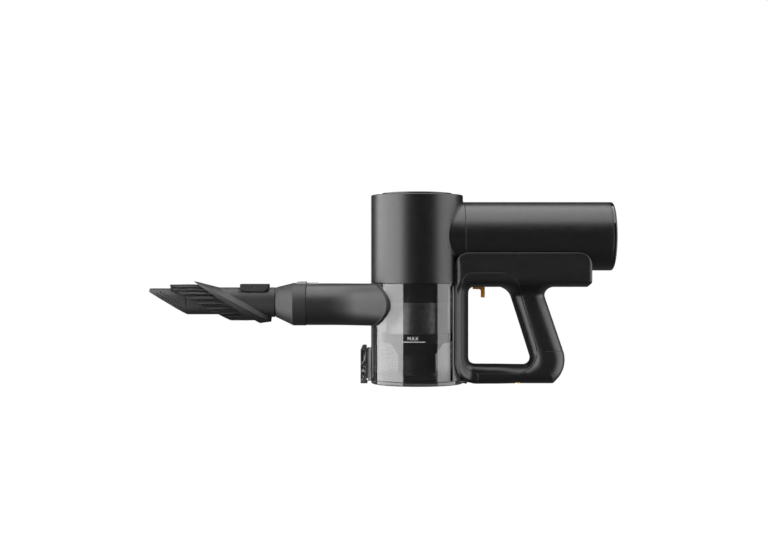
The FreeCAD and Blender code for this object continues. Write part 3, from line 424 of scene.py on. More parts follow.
def rounded(corners, step=2.0):
    """The closed outline through (a, b, radius) corners, with arcs at the corners and a point every step."""
    arcs = []
    spots = [Vector(corner[:2]) for corner in corners]
    for index, (corner, here) in enumerate(zip(corners, spots)):
        radius = corner[2]
        if radius == 0:
            arcs.append([here])
            continue
        back = (spots[index - 1] - here).normalized()
        ahead = (spots[(index + 1) % len(spots)] - here).normalized()
        half = back.angle(ahead) / 2
        centre = here + (back + ahead).normalized() * radius / math.sin(half)
        start = here + back * radius / math.tan(half) - centre
        end = here + ahead * radius / math.tan(half) - centre
        sweep = math.copysign(math.pi - 2 * half, start.x * end.y - start.y * end.x)
        count = max(3, math.ceil(abs(sweep) * radius / step))
        arc = []
        for number in range(count + 1):
            turn = sweep * number / count
            arc.append(centre + Vector((
                start.x * math.cos(turn) - start.y * math.sin(turn),
                start.x * math.sin(turn) + start.y * math.cos(turn),
            )))
        arcs.append(arc)
    outline = []
    for arc, following in zip(arcs, arcs[1:] + arcs[:1]):
        outline += arc
        run = following[0] - arc[-1]
        count = max(1, math.ceil(run.length / step))
        outline += [arc[-1] + run * number / count for number in range(1, count)]
    return outline


def carried_round(turns, rows):
    """The faces between the turns of a closed loop that has that many rows."""
    faces = []
    for number in range(turns):
        here, there = number * rows, (number + 1) % turns * rows
        for row in range(rows):
            after = (row + 1) % rows
            faces.append((here + row, there + row, there + after, here + after))
    return faces


def lathe(name, axis, profile, centre, body, slot, replaces=(), turns=128, step=2.0, sharp=38):
    """A turned piece; its closed profile is (radius, distance along the axis, corner radius) points."""
    loop = rounded(profile, step)
    vertices = []
    for number in range(turns):
        angle = 2 * math.pi * number / turns
        for radius, along in loop:
            first = radius * math.cos(angle)
            second = radius * math.sin(angle)
            if axis == "Z":
                vertices.append((centre[0] + first, centre[1] + second, along))
            else:
                vertices.append((along, centre[0] + first, centre[1] + second))
    faces = carried_round(turns, len(loop))
    return piece(name, vertices, faces, body, slot, replaces, sharp=sharp)


def extrude(made, outline, low, high):
    """Adds a prism to a mesh: its outline is seen from the side, low to high is its width on Y."""
    cap = made.faces.new([made.verts.new((point[0], low, point[1])) for point in outline])
    raised = bmesh.ops.extrude_face_region(made, geom=[cap])["geom"]
    moved = [part for part in raised if isinstance(part, bmesh.types.BMVert)]
    bmesh.ops.translate(made, verts=moved, vec=(0, high - low, 0))


def plate(outline, low, high, edge=0.5):
    """The vertices and faces of a prism with bevelled rims."""
    made = bmesh.new()
    extrude(made, outline, low, high)
    bmesh.ops.recalc_face_normals(made, faces=made.faces)
    if edge:
        rims = [item for item in made.edges if abs(item.verts[0].co.y - item.verts[1].co.y) < 1e-6]
        bmesh.ops.bevel(made, geom=rims, offset=edge, segments=3, profile=0.5, affect="EDGES",
                        clamp_overlap=True)
    made.verts.index_update()
    vertices = [tuple(vertex.co) for vertex in made.verts]
    faces = [tuple(vertex.index for vertex in face.verts) for face in made.faces]
    made.free()
    return vertices, faces


def gather(*parts):
    """Several parts' vertices and faces as one set."""
    vertices, faces = [], []
    for some_vertices, some_faces in parts:
        first = len(vertices)
        vertices += some_vertices
        faces += [tuple(first + corner for corner in face) for face in some_faces]
    return vertices, faces


def carve(item, *cutters):
    """Cuts boxes (low, high corner), prisms (outline, low, high) and rods (axis and sizes) out of a piece."""
    for cutter in cutters:
        made = bmesh.new()
        if len(cutter) == 3:
            extrude(made, *cutter)
        elif len(cutter) == 2:
            low, high = (Vector(corner) for corner in cutter)
            bmesh.ops.create_cube(made, size=1.0)
            for vertex in made.verts:
                vertex.co = [low[k] + (vertex.co[k] + 0.5) * (high[k] - low[k]) for k in range(3)]
        else:
            axis, radius, start, length = cutter
            bmesh.ops.create_cone(made, cap_ends=True, segments=40, radius1=radius, radius2=radius,
                                  depth=length)
            for vertex in made.verts:
                x, y, z = vertex.co
                along = z + length / 2
                offset = {"Y": (x, along, y), "Z": (x, y, along), "X": (along, x, y)}[axis]
                vertex.co = [start[k] + offset[k] for k in range(3)]
        bmesh.ops.recalc_face_normals(made, faces=made.faces)
        data = bpy.data.meshes.new("cutter")
        bmesh.ops.scale(made, vec=(MM, MM, MM), verts=made.verts)
        made.to_mesh(data)
        made.free()
        tool = bpy.data.objects.new("cutter", data)
        bpy.context.scene.collection.objects.link(tool)
        carving = item.modifiers.new("carving", "BOOLEAN")
        carving.object = tool
        carving.solver = "EXACT"
        graph = bpy.context.evaluated_depsgraph_get()
        result = bpy.data.meshes.new_from_object(item.evaluated_get(graph))
        item.modifiers.clear()
        item.data = result
        bpy.data.objects.remove(tool)
    return item


def ease(start, end, value):
    """A smooth step from 0 at start to 1 at end, for numbers and arrays."""
    share = np.clip((value - start) / (end - start), 0, 1)
    return share * share * (3 - 2 * share)


def blend(first, second, share):
    """The value that share of the way from first to second."""
    return first + (second - first) * share


# ---------------------------------------------------------------- places taken from the frame
CUP_RADIUS = span("cup_shell")[1].y
MESH_RADIUS = span("mesh_screen")[1].y
housing_low, housing_high = span("upper_housing")
barrel_low, barrel_high = span("motor_barrel")
BARREL_RADIUS = barrel_high.y
BARREL_UP = (barrel_low.z + barrel_high.z) / 2
ring_high = span("rear_ring")[1]
shell_low, shell_high = span("handle_shell_right")
liner_low, liner_high = span("handle_liner")
SHELL_THICK = 2.5
FIT_GAP = 0.3

MATERIALS = {
    "housing_plastic": moulded("housing_plastic", (0.0032, 0.0032, 0.0034), 0.36),
    "handle_plastic": moulded("handle_plastic", (0.0040, 0.0042, 0.0043), 0.40, grain=0.3, depth=0.015),
    "black_gloss": glossy("black_gloss", (0.0035, 0.0035, 0.0040)),
    "clear_cup": clear_plastic(),
    "tool_plastic": moulded("tool_plastic", (0.0118, 0.0121, 0.0121), 0.52, grain=0.4, specular=0.4),
    "light_plastic": moulded("light_plastic", (0.27, 0.27, 0.275), 0.34, wear_and_highlight=1.3),
    "mesh_metal": perforated(),
    "orange_plastic": moulded("orange_plastic", (0.74, 0.27, 0.028), 0.40, wear_and_highlight=1.15),
    "bristle_fibre": fibre(),
    "seal_rubber": soft("seal_rubber", (0.006, 0.006, 0.006), 0.5, 0.02, 0.62),
    "filter_paper": soft("filter_paper", (0.62, 0.61, 0.56), 0.4, 0.05),
    "foam": soft("foam", (0.03, 0.03, 0.03), 1.1, 0.3),
    "steel": metal("steel", (0.52, 0.52, 0.53), 0.30),
    "motor_alloy": metal("motor_alloy", (0.56, 0.56, 0.57), 0.38),
    "board_green": circuit(),
    "cell_wrap": glossy("cell_wrap", (0.05, 0.12, 0.20), 0.25),
    "brass": metal("brass", (0.62, 0.42, 0.16), 0.28, lathed=False),
}


def finish_cad_nodes():
    """Every CAD node takes the material of its own slot."""
    for part in frame["record"]["subparts"]:
        data = frame["nodes"][part["node"]].data
        data.materials.clear()
        data.materials.append(MATERIALS[part["material_slot"]])


# ---------------------------------------------------------------- round housing and barrel
def make_housing():
    """The round shell above the cup, and the low cap in its bore."""
    cap = span("filter_cap")[1]
    bore = cap.x + FIT_GAP
    wall = CUP_RADIUS - SHELL_THICK
    low, top = housing_low.z, housing_high.z
    ledge = top - 8
    lathe("upper_housing_skin", "Z", [
        (CUP_RADIUS, low, 0.35),
        (CUP_RADIUS, top, 1.1),
        (bore, top, 0.5),
        (bore, ledge, 0),
        (wall, ledge, 0),
        (wall, low, 0.2),
    ], (0, 0), "main_unit", "housing_plastic", ["upper_housing"], turns=192, step=2.5)

    base = cap.z - 9
    lathe("filter_cap_skin", "Z", [
        (0, base, 0),
        (cap.x, base, 0.4),
        (cap.x, cap.z - 0.7, 0.7),
        (cap.x - 7, cap.z, 12),
        (0, cap.z, 0),
    ], (0, 0), "filter_unit", "housing_plastic", ["filter_cap"], turns=160, step=1.5)


def make_barrel():
    """The horizontal shell and the glossy ring that ends it."""
    at = (0, BARREL_UP)
    wall = BARREL_RADIUS - SHELL_THICK
    lathe("motor_barrel_skin", "X", [
        (BARREL_RADIUS, barrel_low.x, 0.35),
        (BARREL_RADIUS, barrel_high.x, 0.3),
        (wall, barrel_high.x, 0.2),
        (wall, barrel_low.x, 0.2),
    ], at, "main_unit", "housing_plastic", ["motor_barrel"], turns=160, step=3)
    grille_radius = span("exhaust_grille")[1].y
    ring_start = barrel_high.x + 0.05
    lathe("rear_ring_skin", "X", [
        (BARREL_RADIUS, ring_start, 0.3),
        (BARREL_RADIUS, ring_high.x, 1.9),
        (grille_radius, ring_high.x, 1.2),
        (grille_radius, ring_start, 0.3),
    ], at, "main_unit", "black_gloss", ["rear_ring"], turns=160, step=0.5)


def saddle(radius, across):
    """Where a circle round the barrel's axis meets the round housing; across is the sine of its angle."""
    return math.sqrt(CUP_RADIUS ** 2 - (radius * across) ** 2) + 0.05


def make_neck():
    """The saddle between the round housing and the barrel: it flares where it meets the housing."""
    seam = barrel_low.x
    flare = 2.6
    inner = BARREL_RADIUS - SHELL_THICK
    groove = BARREL_RADIUS - 0.7
    turns, arc_steps, run_steps = 160, 8, 6
    vertices = []
    rows = 0
    for number in range(turns):
        angle = 2 * math.pi * number / turns
        across = math.sin(angle)
        loop = [(inner, saddle(inner, across))]
        start = saddle(BARREL_RADIUS + flare, across)
        reach = min(flare * 1.8, (seam - start) * 0.7)
        for part in range(arc_steps + 1):
            turn = math.radians(90 * part / arc_steps)
            loop.append((BARREL_RADIUS + flare * (1 - math.sin(turn)), start + reach * (1 - math.cos(turn))))
        run = seam - start - reach - 0.6
        loop += [(BARREL_RADIUS, start + reach + run * part / run_steps) for part in range(1, run_steps + 1)]
        loop += [(BARREL_RADIUS - 0.25, seam - 0.45), (groove, seam - 0.4), (groove, seam), (inner, seam)]
        rows = len(loop)
        for radius, along in loop:
            vertices.append((along, radius * across, BARREL_UP + radius * math.cos(angle)))
    piece("barrel_neck_skin", vertices, carried_round(turns, rows), "main_unit", "housing_plastic",
          ["barrel_neck"])


def make_duct():
    """The inlet tube: straight at first, then it leans out to the side and meets the cup off its middle."""
    low, high = span("inlet_duct")
    outer = (high.z - low.z) / 2
    up = (high.z + low.z) / 2
    collar_low, collar_high = span("inlet_collar")
    shift = (collar_low.y + collar_high.y) / 2
    wall = 2.2
    cup_room = CUP_RADIUS + 2.6
    bend = low.x + 25
    turns, straight, leaning = 128, 8, 44
    vertices, faces = [], []
    rings = []
    for radius in (outer, outer - wall):
        for number in range(straight + leaning + 1):
            ring = []
            for turn in range(turns):
                angle = 2 * math.pi * turn / turns
                across = radius * math.sin(angle)
                ends = -math.sqrt(cup_room ** 2 - (across + shift) ** 2)
                share = max(0.0, (number - straight) / leaning)
                along = blend(bend, ends, share) if share else blend(low.x, bend, number / straight)
                lean = share ** 2 * 4 / 3 if share < 0.5 else 4 / 3 * (share - 0.25)
                ring.append(len(vertices))
                vertices.append((along, across + shift * lean, up + radius * math.cos(angle)))
            rings.append(ring)
    count = straight + leaning + 1
    outside, hollow = rings[:count], rings[count:][::-1]
    loop = outside + hollow
    for ring, following in zip(loop, loop[1:] + loop[:1]):
        for turn in range(turns):
            after = (turn + 1) % turns
            faces.append((ring[turn], ring[after], following[after], following[turn]))
    duct = piece("inlet_duct_skin", vertices, faces, "dust_cup", "housing_plastic", ["inlet_duct"],
                 moulded("duct_plastic", (0.0085, 0.0088, 0.0088), 0.42))
    slot_half, slot_end = 5.9, low.x + 13.6
    carve(duct, ((low.x - 1, -slot_half, up + 18), (slot_end, slot_half, up + 30)))


# ---------------------------------------------------------------- handle
FRONT, REAR, TOP = shell_low.x, shell_high.x, shell_high.z
BLOCK_HALF = -shell_low.y
GRIP_HALF = 19.0
ROOF = TOP - 40.8
OUTLINE = rounded([
    (FRONT, TOP, 16), (REAR, TOP, 16), (REAR, ROOF + 4.7, 1.5), (REAR - 4, ROOF, 1.5),
    (148.7, ROOF, 9), (181.4, 19.9, 34), (162.8, 0, 4), (FRONT, 0, 28),
])
HOLE_FRONT, HOLE_LOW = 60.6, 22.7
HOLE_TOP_FAR, HOLE_LOW_FAR = 109, 138.3
OPENING = rounded([
    (HOLE_FRONT, ROOF, 6), (HOLE_TOP_FAR, ROOF, 16.3), (HOLE_LOW_FAR, HOLE_LOW, 8),
    (HOLE_FRONT, HOLE_LOW, 9.5),
], 1.6)
SEAM = rounded([
    (liner_low.x, liner_high.z, 12), (115.2, liner_high.z, 23.4), (liner_high.x, liner_low.z, 25),
    (liner_low.x, liner_low.z, 22),
])
cover_low, cover_high = span("handle_base_cover")
COVER_FRONT, COVER_TOP = cover_low.x, cover_high.z
CUP_ROOM = CUP_RADIUS + 2.4
HOUSING_ROOM = CUP_RADIUS + FIT_GAP
TROUGH = BARREL_RADIUS + FIT_GAP
HINGE_ROOM = (62.5, 14.0, 16.0)
LIP = 0.35
EDGE_ROWS = (0.12, 0.35, 0.8, 1.5, 2.4, 3.5, 4.8, 6.2, 7.8, 9.6, 11.6, 13.8, 16.0)
GRID_STEP = 3.2
SEAM_CLEAR = 0.9
HANDLE_SCREWS = ((160, 125.5, 31), (195, 125.5, 31), (66.9, 5.6, 18))


def as_array(points):
    """Points as rows of numbers."""
    return np.array([tuple(point) for point in points], float)


def distance(points, line, closed=True):
    """How far each point is from a polyline."""
    starts = line if closed else line[:-1]
    runs = (np.roll(line, -1, axis=0) - line)[:len(starts)]
    best = np.full(len(points), np.inf)
    for start, run in zip(starts, runs):
        offset = points - start
        share = np.clip(offset @ run / (run @ run), 0, 1)
        best = np.minimum(best, np.hypot(*(offset - share[:, None] * run).T))
    return best


def inside(points, line):
    """Whether each point is inside a closed polyline."""
    crossings = np.zeros(len(points), int)
    for start, end in zip(line, np.roll(line, -1, axis=0)):
        spans = (start[1] > points[:, 1]) != (end[1] > points[:, 1])
        if start[1] != end[1]:
            reach = start[0] + (points[:, 1] - start[1]) / (end[1] - start[1]) * (end[0] - start[0])
            crossings += spans & (points[:, 0] < reach)
    return crossings % 2 == 1


def beside(line, offset):
    """A closed polyline's points moved sideways by an offset."""
    along = np.roll(line, -1, axis=0) - np.roll(line, 1, axis=0)
    along /= np.hypot(*along.T)[:, None]
    return line + offset * np.stack([-along[:, 1], along[:, 0]], 1)


class HandleField:
    """The handle seen from the side: triangles, and how far each point of its skin stands out in Y."""

    def __init__(self):
        """Lays points along the edges, seams and steps and over the face, and joins them by triangles."""
        outline, opening, seam = (as_array(line) for line in (OUTLINE, OPENING, SEAM))
        self.outline, self.opening, self.seam = outline, opening, seam
        cross_high = np.array([[152.0, COVER_TOP], [178.0, COVER_TOP]])
        cross_low = np.array([[COVER_FRONT, -1.0], [COVER_FRONT, liner_low.z + 0.5]])
        self.cover_seams = (cross_high, cross_low)
        hinge_far, hinge_top, _ = HINGE_ROOM
        steps = []
        for shift in (-0.05, 0.05):
            steps.append(np.array([[hinge_far + shift, -1.0], [hinge_far + shift, hinge_top + 3]]))
            steps.append(np.array([[40.0, hinge_top + shift], [hinge_far + 2, hinge_top + shift]]))
        steps.append(np.array([[CUP_ROOM, -1.0], [CUP_ROOM, ROOF + 2.0]]))
        steps.append(np.array([[40.0, BARREL_UP - TROUGH], [REAR + 1, BARREL_UP - TROUGH]]))

        points, edges = [], []

        def add_line(line, closed):
            """Adds a line's points, and the edges that the triangles must keep."""
            first = len(points)
            points.extend(line)
            count = len(line)
            edges.extend((first + k, first + (k + 1) % count) for k in range(count if closed else count - 1))

        for line in (outline, opening, seam):
            add_line(line, True)
        for line in (*self.cover_seams, *steps):
            count = max(2, int(np.hypot(*(line[1] - line[0])) / 2))
            add_line([line[0] + (line[1] - line[0]) * k / count for k in range(count + 1)], False)

        extra = []
        for line in (outline, opening):
            for away in EDGE_ROWS:
                for sign in (-1, 1):
                    ring = beside(line, sign * away)
                    ring = ring[inside(ring, outline) & ~inside(ring, opening)]
                    near = np.minimum(distance(ring, outline), distance(ring, opening))
                    extra.append(ring[near > away * 0.985])
        columns, levels = np.arange(FRONT, REAR, GRID_STEP), np.arange(0, TOP, GRID_STEP)
        grid = np.stack(np.meshgrid(columns, levels), -1).reshape(-1, 2)
        near = np.minimum(distance(grid, outline), distance(grid, opening))
        extra.append(grid[inside(grid, outline) & ~inside(grid, opening) & (near > 3)])
        extra = np.concatenate(extra)
        extra = extra[distance(extra, seam) > SEAM_CLEAR]
        for line in self.cover_seams:
            extra = extra[distance(extra, line, False) > SEAM_CLEAR]
        points.extend(extra)
        for away in (0.12, LIP, 0.8):
            for sign in (-1, 1):
                ring = beside(seam, sign * away)
                points.extend(ring[distance(ring, seam) > away * 0.9])
                for line in self.cover_seams:
                    count = int(np.hypot(*(line[1] - line[0])) / 2)
                    across = np.array([line[1][1] - line[0][1], line[0][0] - line[1][0]])
                    across /= np.hypot(*across)
                    points.extend(line[0] + (line[1] - line[0]) * k / count + sign * away * across
                                  for k in range(1, count))

        spots, _, triangles, *_ = geometry.delaunay_2d_cdt(
            [Vector(point) for point in points], edges, [], 0, 1e-4)
        self.points = as_array(spots)
        triangles = np.array([list(triangle) for triangle in triangles])
        centres = self.points[triangles].mean(1)
        kept = inside(centres, outline) & ~inside(centres, opening)
        self.triangles, self.centres = triangles[kept], centres[kept]
        self.measure()

    def measure(self):
        """Finds the skin's and the inner side's distance from the middle plane at every point."""
        x, z = self.points.T
        edge = np.minimum(distance(self.points, self.outline), distance(self.points, self.opening))
        wide = 1 - (1 - ease(104, 125, z)) * ease(FRONT - 4, FRONT + 23, x)
        half = blend(GRIP_HALF, BLOCK_HALF, wide)
        radius = blend(7.0, 9.5, ease(60, 90, x))
        radius = blend(radius, 16.0, ease(92, 125, x) * (1 - ease(100, 122, z)))
        radius = blend(radius, blend(8.0, 4.0, ease(190, 205, x)), ease(110, 121, z))
        radius = blend(radius, 1.2, ease(140, 153, z))
        hollow = np.clip((radius - edge) / radius, 0, 1)
        skin = half - radius * (1 - np.sqrt(1 - hollow ** 2))

        cup = blend(CUP_ROOM, HOUSING_ROOM, ease(116, 121, z))
        inner = np.sqrt(np.clip(cup ** 2 - x ** 2, 0, None))
        inner = np.maximum(inner, np.sqrt(np.clip(TROUGH ** 2 - (z - BARREL_UP) ** 2, 0, None)))
        hinge_far, hinge_top, hinge_half = HINGE_ROOM
        inner = np.maximum(inner, np.where((x < hinge_far) & (z < hinge_top), hinge_half, 0))
        self.inner = inner
        self.skin = np.maximum(skin, inner + 0.5)

        self.to_seam = distance(self.points, self.seam)
        self.to_cross = np.minimum(*(distance(self.points, line, False) for line in self.cover_seams))

    def piece(self, node, kept, seams, side=0):
        """One closed piece over the kept triangles; side -1 or 1 is a half that ends at the middle plane."""
        skin = self.skin - LIP * np.clip(1 - np.minimum.reduce(seams) / LIP, 0, 1) ** 2
        triangles = self.triangles[kept]
        used = np.unique(triangles)
        number = {point: index for index, point in enumerate(used)}
        count = len(used)
        vertices = []
        for reach in (skin, self.inner):
            vertices += [(self.points[k][0], -reach[k], self.points[k][1]) for k in used]
        faces = []
        edges = {}
        for triangle in triangles:
            corners = [number[k] for k in triangle]
            faces.append(tuple(corners))
            if side or max(self.inner[k] for k in triangle) > 0:
                faces.append(tuple(corner + count for corner in reversed(corners)))
            for start, end in zip(corners, corners[1:] + corners[:1]):
                if (end, start) in edges:
                    del edges[(end, start)]
                else:
                    edges[(start, end)] = True
        ends = {}
        if side:
            for start, end in edges:
                along = Vector(self.points[used[end]] - self.points[used[start]]).normalized()
                for corner in (start, end):
                    ends.setdefault(corner, Vector((0, 0)))
                    ends[corner] += Vector((-along.y, along.x))
            on_edge = np.minimum(distance(self.points[used], self.outline),
                                 distance(self.points[used], self.opening)) < 0.01
            for corner, across in list(ends.items()):
                if self.inner[used[corner]] > 0 or not on_edge[corner]:
                    continue
                x, _, z = vertices[corner + count]
                across.normalize()
                ends[corner] = (len(vertices), across)
                vertices.append((x, -LIP, z))
                vertices[corner + count] = (x + across.x * 0.25, 0.0, z + across.y * 0.25)
        for start, end in edges:
            first, second = ends.get(start), ends.get(end)
            if isinstance(first, tuple) and isinstance(second, tuple):
                faces.append((end, start, first[0], second[0]))
                faces.append((second[0], first[0], start + count, end + count))
            elif isinstance(first, tuple):
                faces.append((end, start, first[0], start + count, end + count))
            elif isinstance(second, tuple):
                faces.append((end, start, start + count, end + count, second[0]))
            else:
                faces.append((end, start, start + count, end + count))
        if not side:
            total = len(vertices)
            vertices += [(x, -y, z) for x, y, z in vertices]
            faces += [tuple(corner + total for corner in reversed(face)) for face in faces]
        elif side > 0:
            vertices = [(x, -y, z) for x, y, z in vertices]
        return piece(f"{node}_skin", vertices, faces, "main_unit", "handle_plastic", [node])


def make_handle():
    """The four pieces of the handle, with holes for the trigger, the contacts and the screws."""
    field = HandleField()
    x, z = field.centres.T
    in_liner = inside(field.centres, field.seam)
    in_cover = ~in_liner & (x > COVER_FRONT) & (z < COVER_TOP)
    in_shell = ~in_liner & ~in_cover
    both = (field.to_seam, field.to_cross)
    liner = field.piece("handle_liner", in_liner, (field.to_seam,))
    cover = field.piece("handle_base_cover", in_cover, both)
    field.piece("handle_shell_right", in_shell, both, side=-1)
    left = field.piece("handle_shell_left", in_shell, both, side=1)

    plate_low, plate_high = span("trigger")
    carve(liner, ((plate_low.x + 2.9, -4.4, ROOF - 2), (plate_high.x + 1, 4.4, 128)))
    contact_low, contact_high = span("charging_contacts")
    contact, hole = 2.9, 3.05
    for y in (contact_low.y + contact, contact_high.y - contact):
        carve(cover, ("Z", hole, (contact_low.x + contact, y, -2), 5))
    for across, up, head in HANDLE_SCREWS:
        carve(left, ("Y", 3.1, (across, head - 0.2, up), 30))


# ---------------------------------------------------------------- trigger, latch and cup marks
def make_trigger():
    """A curved blade for the fingertip under a flat plate, with the stem that runs up into the handle."""
    low, high = span("trigger")
    roof = ROOF - 0.3
    front, rear = low.x, high.x
    blade = rounded([
        (front, roof, 0.4), (rear, roof, 0.4), (rear, low.z, 1.1), (rear - 4.0, low.z, 1.1),
        (rear - 4.0, roof - 2.8, 2.4), (front, roof - 2.5, 0.9),
    ], 0.6)
    stem = rounded([(front + 3.4, roof - 0.5, 0), (front + 9, roof - 0.5, 0), (front + 9, high.z, 0.6),
                    (front + 3.4, high.z, 0.6)], 4)
    piece("trigger_skin", *gather(plate(blade, -6, 6, 0.9), plate(stem, -4, 4, 0.3)),
          "trigger", "orange_plastic", ["trigger"], sharp=50)


def make_latch():
    """The lever is a hollow frame with a lattice in its cheeks; the strip behind it is pale."""
    low, high = span("latch_lever")
    half = high.y
    front, rear = low.x, low.x + 7.2
    foot = -CUP_RADIUS - 4.4
    outline = rounded([
        (front, low.z, 0.5), (front, high.z - 5.5, 2.5), (front + 2.4, high.z, 1.6), (rear, high.z, 0.7),
        (rear, low.z + 2.4, 0.4), (foot, low.z + 2.4, 0.3), (foot, low.z, 0.5),
    ], 1.0)
    lever = piece("latch_lever_skin", *plate(outline, -half, half, 0.6), "lid_latch", "black_gloss",
                  ["latch_lever"], moulded("latch_grey", (0.035, 0.035, 0.036), 0.38), sharp=45)
    pin_low, pin_high = span("latch_pin")
    pin = (pin_low + pin_high) / 2
    near, far = front + 1.3, rear - 1.1
    middle = (near + far) / 2
    lattice = (
        [(near, 39.5), (far, 39.5), (far, 34.0), (middle, 34.0), (middle, 27.5), (near, 25.0)],
        [(near, 22.6), (near, 15.6), (middle - 0.5, 18.0)],
        [(far, 26.5), (far, 15.6), (middle + 1.3, 18.0)],
        [(near + 0.5, 13.6), (far - 0.4, 13.6), (middle, 9.0)],
        [(near, 11.2), (near, 5.0), (middle - 0.6, 7.2)],
        [(far, 11.2), (far, 5.0), (middle + 0.6, 7.2)],
    )
    carve(
        lever,
        ((front + 2.0, 2.0 - half, low.z + 2.6), (rear + 1.0, half - 2.0, high.z - 2.6)),
        ("Y", pin_high.z - pin.z + 0.1, (pin.x, -half - 1, pin.z), 2 * half + 2),
        *((cut, -half - 1, 1.5 - half) for cut in lattice),
        *((cut, half - 1.5, half + 1) for cut in lattice),
    )

    low, high = span("latch_mount")
    strip_front = -CUP_RADIUS - 5.2
    strip = rounded([(strip_front, low.z, 1.2), (strip_front, high.z, 1.2), (-CUP_RADIUS, high.z, 0.4),
                     (-CUP_RADIUS, low.z, 0.4)], 1.0)
    boss = rounded([(low.x, pin.z - 2.5, 1.5), (low.x, pin.z + 2.5, 1.5), (strip_front + 0.8, pin.z + 2.5, 0),
                    (strip_front + 0.8, pin.z - 2.5, 0)], 1.0)
    both = gather(plate(strip, low.y, high.y, 1.0), plate(boss, low.y, high.y, 0.3))
    mount = piece("latch_mount_skin", *both, "dust_cup", "light_plastic", ["latch_mount"], sharp=45)
    carve(mount, ("Y", 0.9, (-CUP_RADIUS - 1.6, low.y - 1, pin.z + 2.2), 2.2))


def wrapped(across, up, stand_out):
    """A point on the cup's front surface: across is measured along the surface from the middle."""
    turn = across / CUP_RADIUS
    radius = CUP_RADIUS + stand_out
    return radius * math.sin(turn), -radius * math.cos(turn), up


def printed(start, end, width):
    """A fine printed stroke on the cup, between two places across and up."""
    start, end = Vector(start), Vector(end)
    side = (end - start).normalized().orthogonal() * width / 2
    count = max(1, math.ceil((end - start).length / 1.0))
    vertices = []
    for number in range(count + 1):
        spot = start.lerp(end, number / count)
        for sign, stand_out in ((-1, 0.02), (1, 0.02), (1, 0.12), (-1, 0.12)):
            vertices.append(wrapped(*(spot + sign * side), stand_out))
    faces = [(3, 2, 1, 0), tuple(4 * count + k for k in range(4))]
    for number in range(count):
        here = 4 * number
        faces += [(here + k, here + (k + 1) % 4, here + 4 + (k + 1) % 4, here + 4 + k) for k in range(4)]
    return vertices, faces


def make_fill_mark():
    """The usual fill mark: MAX over a fine line, printed on the cup."""
    low, high = 54.0, 58.1
    letters = (
        ((-12.0, low), (-12.0, high)), ((-12.0, high), (-10.5, low + 1)), ((-10.5, low + 1), (-9.0, high)),
        ((-9.0, high), (-9.0, low)),
        ((-7.6, low), (-6.0, high)), ((-6.0, high), (-4.4, low)), ((-7.1, low + 1.3), (-4.9, low + 1.3)),
        ((-3.1, low), (-0.1, high)), ((-3.1, high), (-0.1, low)),
    )
    strokes = [printed(start, end, 0.36) for start, end in letters]
    strokes.append(printed((-18.6, 52.0), (8.5, 52.0), 0.5))
    piece("cup_fill_mark", *gather(*strokes), "dust_cup", "light_plastic",
          material=moulded("pale_print", (0.62, 0.62, 0.62), 0.5, wear_and_highlight=1.05))


# ---------------------------------------------------------------- springs
def coil(node, axis, turns, wire, body, still_end):
    """A coil spring in a CAD spring's place; still_end is not used."""
    low, high = span(node)
    along = "XYZ".index(axis)
    first, second = (k for k in range(3) if k != along)
    middle = (low + high) / 2
    radius = (high[first] - low[first]) / 2 - wire
    steps, sides = turns * 24, 8
    vertices = []
    for step in range(steps + 1):
        turn = 2 * math.pi * turns * step / steps
        for side in range(sides):
            around = 2 * math.pi * side / sides
            reach = radius + wire * math.cos(around)
            spot = [0, 0, 0]
            spot[along] = blend(low[along] + wire, high[along] - wire, step / steps) + wire * math.sin(around)
            spot[first] = middle[first] + reach * math.cos(turn)
            spot[second] = middle[second] + reach * math.sin(turn)
            vertices.append(tuple(spot))
    faces = [tuple(range(sides))[::-1], tuple(steps * sides + side for side in range(sides))]
    for step in range(steps):
        here = step * sides
        faces += [(here + side, here + (side + 1) % sides, here + sides + (side + 1) % sides,
                   here + sides + side) for side in range(sides)]
    spring = piece(f"{node}_coil", vertices, faces, body, "steel", [node])
    anchor = middle.copy()
    anchor[along] = still_end
    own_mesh(spring)


def make_springs():
    """The coils of the trigger, the latch and the tool's release button."""
    coil("trigger_spring", "X", 6, 0.35, "main_unit", span("trigger_spring")[1].x)
    coil("latch_spring", "X", 5, 0.3, "dust_cup", span("latch_spring")[1].x)
    coil("release_spring", "Z", 4, 0.3, "nozzle_tool",
         span("release_spring")[0].z)


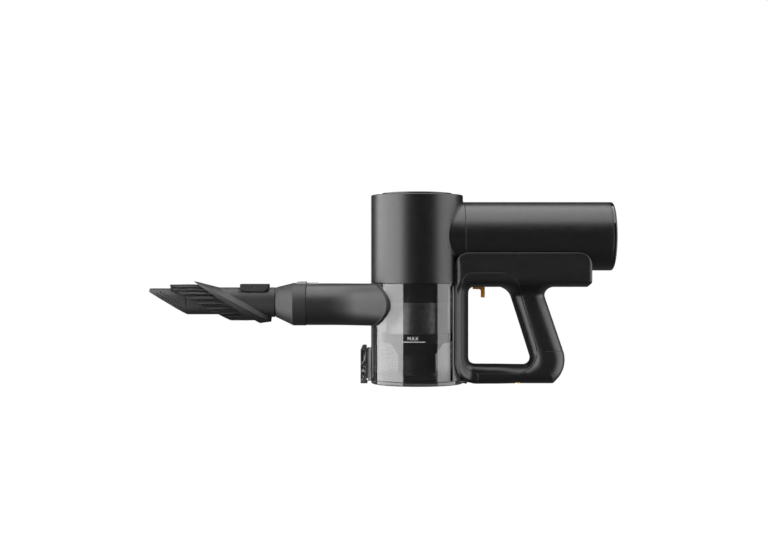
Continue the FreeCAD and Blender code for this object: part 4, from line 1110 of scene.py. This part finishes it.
# ---------------------------------------------------------------- brush
def make_bristles():
    """Tufts around the tube inside the shroud; each fibre is a thin rod that ends at the slanted tip line."""
    chance = random.Random(7)
    low, high = span("bristles")
    up = (low.z + high.z) / 2
    tall, wide = high.z - up - 2.0, high.y - 1.7
    tufts, fibres = 22, 110
    sections = ((0.0, 0.19), (0.5, 0.18), (1.0, 0.10))
    root_lean, tip_lean, top_lean = 1.575, 1.852, 0.453
    vertices, faces = [], []
    rows = 96
    for row in range(rows):
        angle = 2 * math.pi * row / rows
        for grow, shift in ((-3.0, 8), (-3.0, -9), (-1.6, -9), (-1.6, 8)):
            across = (wide + grow + 0.3) * math.sin(angle)
            height = up + (tall + grow) * math.cos(angle)
            vertices.append((high.x - (height - low.z) * root_lean + shift, across, height))
        here, there = 4 * row, 4 * ((row + 1) % rows)
        faces += [(here + k, there + k, there + (k + 1) % 4, here + (k + 1) % 4) for k in range(4)]
    for tuft in range(tufts):
        angle = 2 * math.pi * (tuft + 0.5) / tufts
        middle = Vector((wide * math.sin(angle), up + tall * math.cos(angle)))
        along = Vector((wide * math.cos(angle), -tall * math.sin(angle))).normalized()
        out = Vector((-along.y, along.x))
        for _ in range(fibres):
            reach = math.sqrt(chance.random())
            turn = chance.random() * 2 * math.pi
            sideways = 1.35 * reach * math.cos(turn)
            deep = 1.4 * reach * math.sin(turn)
            root = middle + along * sideways + out * deep
            spread = sideways * 2.5 + chance.gauss(0, 0.5)
            tip = middle + along * spread + out * (deep + chance.gauss(0, 0.15))
            tip.x = max(-high.y, min(high.y, tip.x))
            tip.y = min(tip.y, high.z - 0.2)
            start = high.x - (root.y - low.z) * root_lean + 7
            end = max(high.x - 29.3 - (tip.y - low.z) * tip_lean, low.x + (high.z - tip.y) * top_lean)
            end += chance.gauss(0.3, 0.35)
            bow = Vector((chance.gauss(0, 0.25), chance.gauss(0, 0.25)))
            first = len(vertices)
            for share, radius in sections:
                spot = root.lerp(tip, share ** 1.4) + bow * (4 * share * (1 - share))
                for side in range(3):
                    spin = turn + 2 * math.pi * side / 3
                    vertices.append((blend(start, end, share), spot.x + radius * math.cos(spin),
                                     spot.y + radius * math.sin(spin)))
            for ring in (0, 3):
                for side in range(3):
                    after = (side + 1) % 3
                    faces.append((first + ring + side, first + ring + after, first + ring + 3 + after,
                                  first + ring + 3 + side))
            faces += [(first, first + 2, first + 1), (first + 6, first + 7, first + 8)]
    piece("bristles_tufts", vertices, faces, "brush_carriage", "bristle_fibre", ["bristles"], sharp=80)


# ---------------------------------------------------------------- build
make_camera()
make_lights()
make_world()
make_floor()
finish_cad_nodes()
make_housing()
make_barrel()
make_neck()
make_duct()
make_handle()
make_trigger()
make_latch()
make_fill_mark()
make_springs()
make_bristles()
